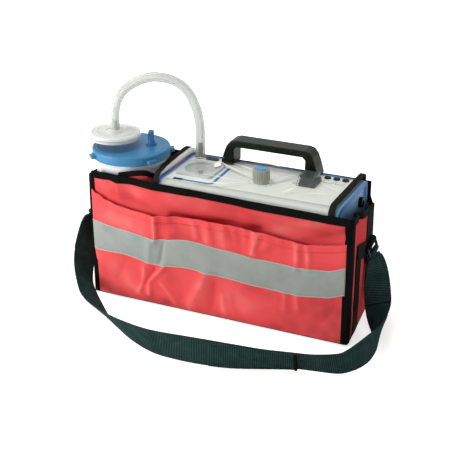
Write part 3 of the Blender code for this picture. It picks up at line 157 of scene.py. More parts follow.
# Painted light and shade on the pocket's coating along lines: painted highlights on its creases, and painted
# shade, below 0, in its hollows, at its lower right and along its foot
POCKET_PAINTED_LIGHT = (
    (((-81, 146), (-82, 111)), 2.4, 0.65),
    (((-70, 69), (-82, 55), (-95, 40), (-97, 17)), 2.8, 0.6),
    (((-102, 62), (-104, 36), (-114, 16)), 3.6, 0.5),
    (((-74, 39), (-64, 28), (-55, 11)), 3.2, 0.5),
    (((-2, 70), (-16, 39), (-32, 8)), 9, 0.45),
    (((23, 38), (24, 13)), 5, 0.45),
    (((-16, 151), (-17, 129)), 4, 0.45),
    (((1, 145), (-1, 122)), 5, 0.45),
    (((23, 147), (25, 124)), 6, 0.45),
    (((72, 152), (71, 119)), 2.6, 0.5),
    (((81, 152), (68, 118)), 3, 0.5),
    (((133, 143), (133, 106)), 3.2, 0.6),
    (((148, 146), (150, 111)), 2.6, 0.5),
    (((134, 65), (136, 45)), 4, 0.45),
    (((117, 64), (117, 41)), 4, 0.35),
    (((-186, 60), (-186, 20)), 12, 0.3),
    (((-150, 130), (-110, 122)), 16, 0.35),
    (((-150, 52), (-128, 24)), 14, 0.3),
    (((36, 52), (60, 34)), 16, 0.25),
    (((-72, 146), (-71, 114)), 5, -0.5),
    (((-52, 152), (-46, 118)), 18, -0.55),
    (((-86, 60), (-101, 36)), 4, -0.5),
    (((-62, 64), (-58, 44)), 12, -0.3),
    (((-92, 14), (-66, 12)), 9, -0.35),
    (((-44, 30), (-46, 10)), 8, -0.25),
    (((8, 54), (2, 16)), 7, -0.2),
    (((-8, 148), (-9, 126)), 3, -0.3),
    (((12, 148), (12, 124)), 4, -0.3),
    (((38, 148), (40, 120)), 6, -0.3),
    (((140, 142), (141, 108)), 3, -0.3),
    (((60, 62), (112, 54)), 9, -0.25),
    (((168, 56), (204, 40)), 26, -0.4),
    (((120, 10), (204, 8)), 18, -0.4),
    (((-190, 6), (110, 6)), 7, -0.3),
)
BACK_FOLDS = (
    (((-150, 30), (-110, 120)), 14, 3.2),
    (((-178, 150), (-140, 176)), 10, 2.4),
    (((-60, 20), (-40, 90)), 12, -2.6),
    (((-20, 150), (10, 110)), 10, 2.2),
    (((20, 160), (60, 70)), 14, 2.8),
    (((84, 40), (100, 12)), 9, 2.0),
    (((120, 20), (150, 110)), 12, 3.0),
    (((150, 160), (176, 130)), 10, -2.0),
)
# Gathers at the pocket's mouth: places across it and heights
MOUTH_GATHERS = (
    (-46, 0.8),
    (-16, 1.5),
    (8, 1.2),
    (31, 1.7),
    (46, 1.4),
    (61, 1.7),
    (76, 1.5),
    (92, 1.2),
    (110, 0.9),
)
GATHER_WIDTH = 4.5
GATHER_DEPTH = 24.0

# Front pocket and reflective band, as heights across the front
POCKET_FABRIC = 1.5
POCKET_INSET = 6.5  # its sides are sewn in under the corner tapes
POCKET_STANDOFF = 1.8
POCKET_BULGE = 8.0
POCKET_COLUMNS = 220
POCKET_ROWS = 80
SIDE_SWELL = 0.5  # powers below 1 make it stand out soon after its sides and above its foot
FOOT_SWELL = 0.6
SIDE_HOLD = 20  # its folds are full a twentieth of its width in from its sides
FOOT_HOLD = 8  # and an eighth of its height up from its foot
MOUTH_FLARE = 9.0  # how much further the mouth stands open at its middle
MOUTH_MIDDLE = -5.0
MOUTH_SPREAD = 60.0
MOUTH_DEPTH = 45.0
HEM_HEIGHT = 11.0
HEM_RISE = 0.3
HEM_ROWS = 5
HEM_SEAM = 1.6  # the seam is this far above the hem's lower edge
SEAM_INSET = 4.0
POCKET_MOUTH = (
    (-191, 171),
    (-175, 163),
    (-161, 156.5),
    (-141, 152),
    (-114, 149),
    (-82, 147.5),
    (-62, 151.5),
    (-42, 156.7),
    (-11, 159),
    (34, 157.8),
    (79, 153.2),
    (123, 147.5),
    (144, 145.5),
    (168, 148),
    (186, 151),
    (199, 153.5),
    (207, 156),
)
BAND_RISE = 0.9  # the tape stands off the pocket by this much
BAND_TOP = (
    (-191, 122),
    (-178, 120),
    (-140, 115),
    (-83, 110),
    (-27, 119),
    (27, 115),
    (80, 111),
    (138, 109),
    (174, 111),
    (207, 120),
)
BAND_BOTTOM = (
    (-191, 77),
    (-178, 75),
    (-140, 76),
    (-83, 70),
    (-27, 75),
    (27, 72),
    (80, 68),
    (138, 67),
    (174, 71),
    (207, 80),
)
BAND_THICKNESS = 0.6
BAND_ROWS = 14
BAND_EDGE = 1.4
BAND_EDGE_RISE = BAND_RISE + 0.3

# Black binding tape over the bag's cut edges
TAPE_DROPS = (9.0, 6.0, 3.0, 0.0)
TAPE_RISE = 1.0
TAPE_CROWN = 1.4
TAPE_UNDER = 0.5
TAPE_END = 1.0  # the corner tapes end this far below the top edge
TAPE_OVER_POCKET = 3.1  # the corner tapes stand this far out where they hold the pocket's sides
TAPE_STEP = (-6, 4)  # heights from the pocket's mouth between which they step back in
TAPE_HALF = 1.7
TAPE_THICKNESS = 0.8
TAPE_FOLD = ((1, -0.4), (0.7, 0.7), (0, 1.1), (-0.7, 0.7), (-1, -0.4))  # as (share of its half, height)
TAPE_INSIDE = -0.8
COVER_TAPE = 7.5
DIVIDER_TAPE = 7.0
# The back edge tape's wide leg is in part painted shade on the back's inner face
BACK_EDGE_TAPE = 11.0
BACK_EDGE_STEPS = 12

# Sewn stitches
STITCH_LENGTH = 3.2
STITCH_GAP = 1.6
STITCH_WIDTH = 0.9
STITCH_RISE = 0.45

# Divider and the loose flap that it ends in beside the jar: places from back to front, and its top there
DIVIDER_ROUTE = (
    ((-94.0, 72.0), 184.0),
    ((-94.0, 30.0), 186.0),
    ((-93.5, -20.0), 190.0),
    ((-95.5, -44.0), 197.0),
    ((-103.0, -56.0), 204.5),
    ((-120.0, -60.5), 203.0),
    ((-144.0, -62.0), 197.0),
)
DIVIDER_FOOT = BAG_FLOOR + 0.5
DIVIDER_COLUMNS = 40
DIVIDER_ROWS = 20

# Clear cover over the control panel, and the creases in it as places across the top, with white slivers along
# some creases as painted highlights
COVER_Z = 200.4
COVER_SHEET = 0.8
COVER_FRONT_Y = -62.9
COVER_FRONT_Z = 184.0
COVER_BACK_Y = 71.6
COVER_BACK_Z = 187.0
COVER_FRONT_DROP = 11.2  # its front is straight up to this far below its top
COVER_BEND_DROP = 10.5  # it bends from this far below its top
COVER_BEND_REACH = 14.0  # to this far behind its front
COVER_BEND_TIP = (1.0, -1.0)  # what it bends towards, from the corner of its front and its top
COVER_BEND_STEPS = 6
COVER_STEP = 3.0
COVER_BACK_REACH = 11.0  # its level rows stop this far before its back
COVER_BACK_BEND = ((-2.0, -0.6), (0.0, -3.0))  # from the corner of its top and its back
COVER_FLATNESS = 0.1  # rows this near to the height of its top are on it
COVER_LEFT = ((-62.9, -88.0), (-35.0, -94.3), (-15.0, -97.1), (11.0, -99.2), (33.0, -100.8), (71.6, -102.0))
COVER_RIGHT = 179.5
COVER_EASE = 2.0
COVER_CUT = 8.0  # its holes are cut from this far above it to this far below
COVER_COLUMNS = 90
COVER_FOLDS = (
    (((-25, 30), (12, -10)), 5, 0.9),
    (((-2, -52), (70, -30), (112, -24)), 4, 0.9),
    (((60, -48), (128, -8)), 6, 0.7),
    (((-70, 20), (-30, 44)), 6, 0.8),
    (((130, 40), (168, 10)), 7, 0.8),
    (((20, 60), (90, 52)), 6, 0.7),
)
# Painted highlights: white slivers along these creases, with their widths
COVER_CREASES = (
    (((-30, 32), (-15, 21), (-1, 14), (21, 3), (37, -4)), 2.9),
    (((-6, 32), (12, 27), (29, 19), (38, 13)), 1.4),
    (((-29, -24), (0, -25), (36, -24)), 1.3),
    (((-34, -49), (6, -47), (21, -40), (40, -24)), 3.2),
    (((66, -16), (74, -2), (85, 19), (92, 30)), 2.6),
    (((93, -47), (100, -38), (106, -26), (114, -18)), 2.3),
    (((120, -42), (133, -28), (158, -22)), 1.2),
    (((132, 16), (144, 6), (168, -6)), 1.2),
    (((-70, 30), (-58, 33), (-48, 31)), 1.4),
    (((19, 49), (39, 50), (63, 47)), 3.8),
    (((-26, 6), (-25, 15), (-29, 28)), 10.2),
)
CREASE_STEPS = 24
CREASE_GAP = 0.05
CREASE_THICKNESS = 0.2

# Shoulder strap: middle of the webbing and the direction across it, from the left ring to the right one
STRAP_WIDTH = 38.0
STRAP_THICKNESS = 2.0
STRAP_EDGE = 0.55  # share of its thickness that is left at its edges
STRAP_COLUMNS = 8
STRAP_SAMPLES = 220
STRAP_ROUTE = (
    ((-224.2, 4.0, 101.8), (0.0, -1.0, 0.0)),
    ((-226.6, 4.0, 95.0), (-0.1, -0.98, 0.06)),
    ((-228.8, 0.5, 85.5), (-0.35, -0.86, 0.36)),
    ((-230.0, -5.5, 74.0), (-0.52, -0.73, 0.45)),
    ((-227.5, -25.0, 52.0), (-0.6, -0.6, 0.53)),
    ((-219.0, -49.0, 36.5), (-0.52, -0.57, 0.64)),
    ((-205.0, -73.0, 26.5), (-0.46, -0.54, 0.7)),
    ((-186.0, -96.0, 22.0), (-0.52, -0.55, 0.65)),
    ((-166.0, -118.0, 20.3), (-0.55, -0.59, 0.6)),
    ((-144.0, -138.0, 19.5), (-0.46, -0.59, 0.66)),
    ((-119.5, -156.0, 19.3), (-0.33, -0.53, 0.78)),
    ((-93.5, -170.5, 19.4), (-0.23, -0.44, 0.87)),
    ((-66.0, -182.5, 19.7), (-0.14, -0.32, 0.94)),
    ((-37.0, -191.5, 20.0), (-0.06, -0.19, 0.98)),
    ((-7.5, -194.5, 20.2), (0.0, -0.05, 1.0)),
    ((37.0, -192.0, 20.5), (0.0, 0.06, 1.0)),
    ((81.0, -186.0, 20.6), (0.0, -0.05, 1.0)),
    ((124.0, -175.0, 20.4), (0.09, -0.3, 0.95)),
    ((166.0, -162.0, 20.4), (0.13, -0.43, 0.9)),
    ((191.3, -156.5, 20.6), (0.19, -0.4, 0.9)),
    ((218.6, -145.0, 19.7), (0.16, -0.25, 0.95)),
    ((229.2, -134.8, 20.2), (0.06, -0.13, 0.99)),
    ((239.5, -115.5, 21.3), (-0.09, -0.02, 1.0)),
    ((245.5, -94.0, 21.8), (-0.12, 0.03, 0.99)),
    ((248.8, -64.3, 20.8), (0.05, 0.03, 1.0)),
    ((248.0, -49.4, 20.5), (0.19, 0.01, 0.98)),
    ((244.1, -35.0, 21.5), (0.4, 0.02, 0.92)),
    ((238.4, -21.5, 24.2), (0.6, 0.04, 0.8)),
    ((232.8, -8.4, 28.6), (0.8, 0.08, 0.59)),
    ((228.0, 4.2, 35.0), (0.93, 0.15, 0.33)),
    ((223.7, 14.8, 44.4), (0.94, 0.33, 0.07)),
    ((216.8, 27.4, 70.5), (0.66, 0.75, -0.04)),
    ((212.6, 31.5, 84.5), (0.44, 0.9, 0.0)),
    ((208.8, 33.4, 97.2), (0.08, 1.0, 0.0)),
)

# Silicone tube from the filter to the vacuum port, in (share of the span, height above ground)
FILTER_PLACE = (-172.5, -18.4)
PORT_PLACE = (-68.0, 49.4)
TUBE_RADIUS = 7.0
TUBE_BORE = 4.0
TUBE_SAMPLES = 90
TUBE_ROUTE = (
    (0.0, 246.3),
    (0.004, 266.0),
    (0.022, 281.0),
    (0.068, 295.0),
    (0.146, 306.0),
    (0.288, 316.0),
    (0.425, 320.3),
    (0.505, 320.3),
    (0.634, 317.0),
    (0.77, 308.0),
    (0.87, 294.0),
    (0.938, 276.0),
    (0.978, 258.0),
    (0.998, 238.0),
    (1.0, 198.6),
)
PORT_RADIUS = 9.0
NIPPLE = (
    (1.8, 196.2),
    (9.0, 196.2),
    (9.0, 197.7),
    (8.4, 198.3),
    (3.4, 198.3),
    (3.4, 204.0),
    (3.9, 205.5),
    (3.3, 206.0),
    (3.3, 210.0),
    (3.9, 211.5),
    (3.3, 212.0),
    (3.0, 217.0),
    (1.8, 217.0),
)

# Tabs and rings that carry the strap: (foot of the tab on the end, outward direction, bar of the ring)
TAB_WIDTH = 38.0
TAB_SHARES = (-1, -0.97, -0.5, 0, 0.5, 0.97, 1)
TAB_SLIM = 0.4  # it is thinner by this much at its edges
TAB_GAP = 0.2
TAB_BOTTOM = 90.0
TAB_NECK = 107.5
TAB_TOP = 111.0
TAB_PLATE = 3.2
TAB_SEAMS = (TAB_BOTTOM + 2.5, TAB_BOTTOM + 13)
TAB_SEAM_SHARE = 0.9
LOOP_Z = 114.0
LOOP_OUT = 4.7
LOOP_RADIUS = 4.4
LOOP_START_DEG = -70.0
LOOP_TURN_DEG = 260.0
LOOP_STEPS = 14
TABS = {
    "left": ((-208.05, 4.0), (-1.0, 0.0), (-223.93, 4.0, 105.58)),
    "right": ((198.79, 34.0), (0.9957, 0.0931), (208.24, 34.88, 100.84)),
}
ROLL_RADIUS = 4.0
ROLL_START_DEG = -60.0
ROLL_TURN_DEG = 300.0
ROLL_STEPS = 20

# Lengths of the strap that are sewn double, in samples along it
STRAP_FOLD = 20  # each end is turned back over this many
STRAP_OVERLAP = (112, 144)
# A black strip over this many samples at the overlap's end is painted shade for the gap there
STRAP_SHADE_SAMPLES = 2
SEAM_SHORT = 2  # the stitches stop this many short of the ends
DOUBLED_WIDTH = 37.0
DOUBLED_FACE = 1.5  # thicknesses from the middle of the strap to the outer face of the second layer
STRAP_INSET = 4.0

# Webbing sewn flat on the bag's ends: reach across the end, and heights, sloping ones as (at y = 0, per mm)
STRIP_ROWS = 24
STRIP_COLUMNS = 16
STRIP_THICKNESS = 1.1
STRIP_RISE = 1.3
STRIP_FOOT = 4.0
FRONT_STRIP_REACH = (-41, -12)
FRONT_STRIP_TOP = 128.0
SLANT_REACH = (-40, 58)
SLANT_FOOT = (105.0, -0.4)
SLANT_TOP = (129.0, -0.3)
SLANT_RISE = 2.4
BACK_STRIP_REACH = (22, 60)
BACK_STRIP_FOOT = 90.0
BACK_STRIP_DROP = 2.0  # it ends this far below the top edge
LEFT_STRIP_REACH = (-15, 23)
LEFT_STRIP_TOP = 112.0

# Control panel
PANEL_TOP = 195.9
PRINT = 0.16
GAUGE_PLACE = (-44.0, 0.0)
DIAL_Z = 190.3
KNOB_PLACE = (53.0, -7.5)
KNOB_RADIUS = 11.5
KNOB_RIBS = 26
KNOB_RIB_DEEP = 0.4
KNOB_RIB_PROUD = 0.7
KNOB_RIB_WIDTH = 1.2
KNOB_RIB_LOW = 199.5
KNOB_RIB_HIGH = 215.0
KNOB_MARKS = 10
KNOB_MARK_REACH = (15.5, 18.5)
KNOB_MARK_START_DEG = 225.0
KNOB_MARK_SWEEP_DEG = 270.0
HANDLE_FOOT = 20.5
FRAME_LINE = ((-66, -43.8), (-40, -43.8), (-13, -43.8), (-9.4, -42.8), (-7.4, -40.4), (-7.2, -36), (-9, 22))
FRAME_WIDTH = 4.6
FRAME_FOOT = ((-66, -43.2), (-52, -43.2))
FRAME_FOOT_WIDTH = 7.6
BACK_LINE = ((-62, 54.6), (172, 54.6))
BACK_LINE_WIDTH = 4.4
LAMP_BRACKETS = (
    ((131, 34), (132, 28), (145, 28), (145.6, 34)),
    ((149, 34), (150, 28), (161, 28), (161.6, 34)),
)
MARK_WIDTH = 0.9
ON_MARK = ((97, 20), (97, 25))
ON_MARK_WIDTH = 1.0
OFF_MARK = (97, 8)
OFF_MARK_RADIUS = 2.4
GAUGE_DISH = ((0.4, 189.4), (22.8, 189.4), (22.8, 196.3), (22.2, 196.3), (20.4, DIAL_Z), (0.4, DIAL_Z))
DIAL_MARKS = 21
DIAL_MARK_REACH = (16.2, 19.0)
DIAL_MARK_WIDTH = 0.5
NUMBER_MARK_REACH = (15.0, 19.4)
DIAL_ARC_WIDTH = 0.6
DIAL_ARC_STEPS = 40
DIAL_NUMBERS = ("0", "20", "40", "60", "80")
DIAL_START_DEG = 215.0
DIAL_SWEEP_DEG = 250.0
NUMBER_SIZE = 4.6
NUMBER_RADIUS = 11.8

# Jar, lid and filter
JAR_PLACE = (-152.0, -8.5)
FILTER_UPPER = (
    (2.5, 258.0),
    (3.9, 258.0),
    (3.9, 246.2),
    (6.0, 246.0),
    (6.4, 244.8),
    (9.0, 243.7),
    (12.0, 243.3),
    (12.5, 244.0),
    (13.3, 244.0),
    (13.8, 243.2),
    (26.6, 242.5),
    (27.0, 243.1),
    (28.0, 243.1),
    (28.4, 242.4),
    (32.6, 242.1),
    (33.2, 243.0),
    (35.0, 242.8),
    (36.6, 241.9),
    (37.0, 240.6),
    (37.0, 238.4),
    (36.0, 237.9),
    (2.5, 237.9),
)
FILTER_LOWER = (
    (2.5, 227.5),
    (6.0, 227.5),
    (6.8, 229.2),
    (9.0, 231.0),
    (20.0, 231.9),
    (33.6, 232.5),
    (36.2, 233.2),
    (37.0, 234.6),
    (37.0, 237.0),
    (36.0, 237.6),
    (2.5, 237.6),
)
FILTER_RIBS = 24
FILTER_RIB_REACH = (14.2, 26.4)
FILTER_RIB_WIDTH = 0.8
FILTER_RIB_HEIGHTS = (242.2, 243.1)
LID_RING = ((47.8, 220.8), (48.5, 221.4), (50.2, 221.4), (50.9, 220.8))
LID_BEAD = ((56.6, 208.2), (57.6, 208.6), (57.6, 210.0), (56.6, 210.6))
JAR_BEAD = ((51.2, 201.6), (52.2, 202.3), (52.2, 203.7), (51.2, 204.4))

# Wave textures: bands are this far apart at a scale of 1
WAVE_TURN = math.pi / 10

# Light and stage, in metres and watts
FLOOR_SIZE = 6.0
FLOOR_Z = -0.0004
FLOOR_GLOW = 0.62  # white that the camera sees of the floor near the object, besides the light on it
FLOOR_NEAR = 0.35  # from here outwards the floor fades to plain white
FLOOR_FAR = 0.75
WORLD_LIGHT = 0.24
LAMPS = (
    ("top", (-0.3, -0.2, 1.7), 17.0, 1.3),
    ("key", (-0.9, -0.9, 0.34), 13.4, 0.45),
    ("fill", (1.5, -0.35, 0.6), 4.6, 0.8),
)
LAMP_TARGET = (0, 0, 0.12)

MIX_FACTOR, MIX_A, MIX_B, MIX_RESULT = 0, 6, 7, 2  # sockets of a colour mix


def linear(colour):
    """An sRGB hex colour as linear red, green and blue, with full alpha."""
    shares = [int(colour[i : i + 2], 16) / 255 for i in (1, 3, 5)]
    return (*[s / 12.92 if s <= 0.04045 else ((s + 0.055) / 1.055) ** 2.4 for s in shares], 1.0)


def ease(low, high, value):
    """0 up to low, 1 from high on, and a smooth step between."""
    t = min(max((value - low) / (high - low), 0.0), 1.0)
    return t * t * (3 - 2 * t)


def add(tree, kind, inputs=None, **settings):
    """Adds a node with its settings, and gives each input a value or a link from a socket or a node."""
    node = tree.nodes.new(kind)
    for name, value in settings.items():
        setattr(node, name, value)
    for socket, value in (inputs or {}).items():
        if isinstance(value, bpy.types.Node):
            value = value.outputs[0]
        if isinstance(value, bpy.types.NodeSocket):
            tree.links.new(value, node.inputs[socket])
        else:
            node.inputs[socket].default_value = value
    return node


def new_finish(name):
    """An empty material, its node tree, and the coordinates that its patterns are laid out by."""
    material = bpy.data.materials.new(name)
    material.use_nodes = True
    tree = material.node_tree
    tree.nodes.clear()
    return material, tree, add(tree, "ShaderNodeTexCoord")


def shade(tree, inputs):
    """Ends a material in one Principled shader."""
    shader = add(tree, "ShaderNodeBsdfPrincipled", inputs)
    add(tree, "ShaderNodeOutputMaterial", {"Surface": shader})


def coated_nylon(name, light, dark, specular):
    """Coated woven nylon: satin and softly crumpled, with painted highlights on its creases and painted shade
    in its hollows.

    Its grid of threads is drawn at twice its real size.
    """
    thread, crumple, patch = 1.1, 55, 45
    # Reds for the painted highlights on the creases and the painted shade in the hollows
    painted_highlight_red, painted_shade_red = "#FB8E8A", "#96181C"
    material, tree, where = new_finish(name)
    uv = where.outputs["UV"]
    patches = add(tree, "ShaderNodeTexNoise", {"Vector": uv, "Scale": 1 / (patch * MM), "Detail": 4.0})
    tones = {MIX_FACTOR: patches, MIX_A: linear(dark), MIX_B: linear(light)}
    colour = add(tree, "ShaderNodeMix", tones, data_type="RGBA")
    # The cloth's attribute of painted light: painted highlights above 0 and painted shade below 0
    painted_light = add(tree, "ShaderNodeAttribute", attribute_name="painted_light").outputs["Fac"]
    toning = add(tree, "ShaderNodeMapRange", {"Value": painted_light})
    pale = {MIX_FACTOR: toning, MIX_A: colour.outputs[MIX_RESULT], MIX_B: linear(painted_highlight_red)}
    colour = add(tree, "ShaderNodeMix", pale, data_type="RGBA")
    painted_shade = add(tree, "ShaderNodeMapRange", {"Value": painted_light, "From Max": -1.0})
    deep = {MIX_FACTOR: painted_shade, MIX_A: colour.outputs[MIX_RESULT], MIX_B: linear(painted_shade_red)}
    colour = add(tree, "ShaderNodeMix", deep, data_type="RGBA")
    gloss = add(tree, "ShaderNodeMapRange", {"Value": patches, "To Min": 0.22, "To Max": 0.42})
    scale = WAVE_TURN / (thread * MM)
    warp = add(tree, "ShaderNodeTexWave", {"Vector": uv, "Scale": scale}, bands_direction="X")
    weft = add(tree, "ShaderNodeTexWave", {"Vector": uv, "Scale": scale}, bands_direction="Y")
    threads = {0: warp.outputs["Fac"], 1: weft.outputs["Fac"]}
    weave = add(tree, "ShaderNodeMath", threads, operation="MULTIPLY")
    creasing = {"Vector": uv, "Scale": 1 / (crumple * MM), "Detail": 2.0, "Roughness": 0.4}
    crumples = add(tree, "ShaderNodeTexNoise", creasing, noise_type="RIDGED_MULTIFRACTAL", normalize=True)
    lumps = {0: crumples, 1: 6.0, 2: weave}
    height = add(tree, "ShaderNodeMath", lumps, operation="MULTIPLY_ADD")
    bump = add(tree, "ShaderNodeBump", {"Height": height, "Strength": 0.5, "Distance": 0.9 * MM})
    inputs = {"Base Color": colour.outputs[MIX_RESULT], "Roughness": gloss, "Normal": bump}
    shade(tree, inputs | {"Specular IOR Level": specular})
    return material


def reflective_fabric():
    """Glass-bead reflective tape: matt silver grey, with fine cross lines from its backing, drawn coarser."""
    line, patch = 2.4, 26
    material, tree, where = new_finish("glass_bead_reflective_tape")
    uv = where.outputs["UV"]
    patches = add(tree, "ShaderNodeTexNoise", {"Vector": uv, "Scale": 1 / (patch * MM), "Detail": 4.0})
    scale = WAVE_TURN / (line * MM)
    ribs = add(tree, "ShaderNodeTexWave", {"Vector": uv, "Scale": scale}, bands_direction="X")
    lines = {0: ribs.outputs["Fac"], 1: 0.2, 2: patches}
    tone = add(tree, "ShaderNodeMath", lines, operation="MULTIPLY_ADD", use_clamp=True)
    tones = {MIX_FACTOR: tone, MIX_A: linear("#808782"), MIX_B: linear("#9BA29C")}
    colour = add(tree, "ShaderNodeMix", tones, data_type="RGBA")
    relief = {"Height": ribs.outputs["Fac"], "Strength": 0.15, "Distance": 0.2 * MM}
    bump = add(tree, "ShaderNodeBump", relief)
    inputs = {"Base Color": colour.outputs[MIX_RESULT], "Normal": bump}
    shade(tree, inputs | {"Roughness": 0.6, "Specular IOR Level": 0.3})
    return material


def webbing(name, light, dark, rib, across="X"):
    """Woven strap or tape: dull, with raised ribs across it and paler threads on their crests."""
    patch = 16
    material, tree, where = new_finish(name)
    uv = where.outputs["UV"]
    scale = WAVE_TURN / (rib * MM)
    ribs = add(tree, "ShaderNodeTexWave", {"Vector": uv, "Scale": scale}, bands_direction=across)
    patches = add(tree, "ShaderNodeTexNoise", {"Vector": uv, "Scale": 1 / (patch * MM), "Detail": 5.0})
    toning = {0: ribs.outputs["Fac"], 1: patches}
    tone = add(tree, "ShaderNodeMath", toning, operation="MULTIPLY")
    tones = {MIX_FACTOR: tone, MIX_A: linear(dark), MIX_B: linear(light)}
    colour = add(tree, "ShaderNodeMix", tones, data_type="RGBA")
    bump = add(tree, "ShaderNodeBump", {"Height": ribs.outputs["Fac"], "Strength": 0.3, "Distance": 0.4 * MM})
    inputs = {"Base Color": colour.outputs[MIX_RESULT], "Normal": bump}
    shade(tree, inputs | {"Roughness": 0.8, "Specular IOR Level": 0.02})
    return material


def moulded(name, light, dark, roughness, grain=0.5, patch=25, depth=0.06, specular=0.5):
    """Moulded plastic: even colour with faint patches, and a fine spark-eroded grain, drawn coarser."""
    material, tree, where = new_finish(name)
    place = where.outputs["Object"]
    patches = add(tree, "ShaderNodeTexNoise", {"Vector": place, "Scale": 1 / (patch * MM), "Detail": 4.0})
    fine = add(tree, "ShaderNodeTexNoise", {"Vector": place, "Scale": 1 / (grain * MM), "Detail": 2.0})
    tones = {MIX_FACTOR: patches, MIX_A: linear(dark), MIX_B: linear(light)}
    colour = add(tree, "ShaderNodeMix", tones, data_type="RGBA")
    smooth, dull = roughness * 0.85, roughness * 1.15
    gloss = add(tree, "ShaderNodeMapRange", {"Value": patches, "To Min": smooth, "To Max": dull})
    bump = add(tree, "ShaderNodeBump", {"Height": fine, "Strength": depth, "Distance": 0.2 * MM})
    inputs = {"Base Color": colour.outputs[MIX_RESULT], "Roughness": gloss, "Normal": bump}
    shade(tree, inputs | {"Specular IOR Level": specular})
    return material


def end_cap_blue():
    """Blue moulded end: a deep blue rim round a paler recessed face, told apart by how far out they stand."""
    rim_x, patch, grain = 184.3, 25, 0.5
    material, tree, where = new_finish("abs_blue_two_tone_moulded")
    place = where.outputs["Object"]
    axes = add(tree, "ShaderNodeSeparateXYZ", {0: place})
    rim = add(tree, "ShaderNodeMath", {0: axes.outputs["X"], 1: rim_x * MM}, operation="GREATER_THAN")
    patches = add(tree, "ShaderNodeTexNoise", {"Vector": place, "Scale": 1 / (patch * MM), "Detail": 4.0})
    uneven = {0: patches, 1: 0.14, 2: rim}
    tone = add(tree, "ShaderNodeMath", uneven, operation="MULTIPLY_ADD", use_clamp=True)
    tones = {MIX_FACTOR: tone, MIX_A: linear("#7DABCE"), MIX_B: linear("#2A65A5")}
    colour = add(tree, "ShaderNodeMix", tones, data_type="RGBA")
    fine = add(tree, "ShaderNodeTexNoise", {"Vector": place, "Scale": 1 / (grain * MM), "Detail": 2.0})
    bump = add(tree, "ShaderNodeBump", {"Height": fine, "Strength": 0.06, "Distance": 0.2 * MM})
    inputs = {"Base Color": colour.outputs[MIX_RESULT], "Normal": bump}
    shade(tree, inputs | {"Roughness": 0.4, "Specular IOR Level": 0.15})
    return material


def clear_film():
    """Flexible clear vinyl: nearly all light passes, and it is painted white where it bends down at its left
    edge, a painted reflection of the bright room.
    """
    bend_start, bend_end, bend_glare, patch = -80, -91, 0.8, 30
    material, tree, where = new_finish("clear_vinyl_film_calendered")
    place = where.outputs["Object"]
    axes = add(tree, "ShaderNodeSeparateXYZ", {0: place})
    span = {"Value": axes.outputs["X"], "From Min": bend_start * MM, "From Max": bend_end * MM}
    # Painted reflection: the film turns whiter over its bend
    bend = add(tree, "ShaderNodeMapRange", span | {"To Max": bend_glare})
    patches = add(tree, "ShaderNodeTexNoise", {"Vector": place, "Scale": 1 / (patch * MM), "Detail": 3.0})
    haze = {0: patches, 1: 0.03, 2: bend}
    alpha = add(tree, "ShaderNodeMath", haze, operation="MULTIPLY_ADD", use_clamp=True)
    inputs = {"Base Color": linear("#F2F4F3"), "Alpha": alpha}
    shade(tree, inputs | {"Roughness": 0.1, "Specular IOR Level": 0.03})
    return material


def clear_plastic(name, tint, alpha, edge_alpha, roughness):
    """Clear plastic or rubber: known by its gloss, with a fuller colour where its wall is seen edge on."""
    patch = 12
    material, tree, where = new_finish(name)
    facing = add(tree, "ShaderNodeLayerWeight", {"Blend": 0.4})
    walls = {"Value": facing.outputs["Facing"], "To Min": alpha, "To Max": edge_alpha}
    wall = add(tree, "ShaderNodeMapRange", walls)
    place = where.outputs["Object"]
    patches = add(tree, "ShaderNodeTexNoise", {"Vector": place, "Scale": 1 / (patch * MM), "Detail": 2.0})
    uneven = add(tree, "ShaderNodeMapRange", {"Value": patches, "To Min": 0.92, "To Max": 1.08})
    both = {0: wall, 1: uneven}
    full = add(tree, "ShaderNodeMath", both, operation="MULTIPLY", use_clamp=True)
    inputs = {"Base Color": linear(tint), "Alpha": full}
    shade(tree, inputs | {"Roughness": roughness, "Specular IOR Level": 0.6})
    return material


def metal(name, colour, roughness):
    """Bare metal with fine drawn lines that break up its gloss."""
    line = 1.5
    material, tree, where = new_finish(name)
    place = where.outputs["Object"]
    lines = add(tree, "ShaderNodeTexNoise", {"Vector": place, "Scale": 1 / (line * MM), "Detail": 3.0})
    smooth, dull = roughness * 0.7, roughness * 1.3
    gloss = add(tree, "ShaderNodeMapRange", {"Value": lines, "To Min": smooth, "To Max": dull})
    shade(tree, {"Base Color": linear(colour), "Metallic": 1.0, "Roughness": gloss})
    return material


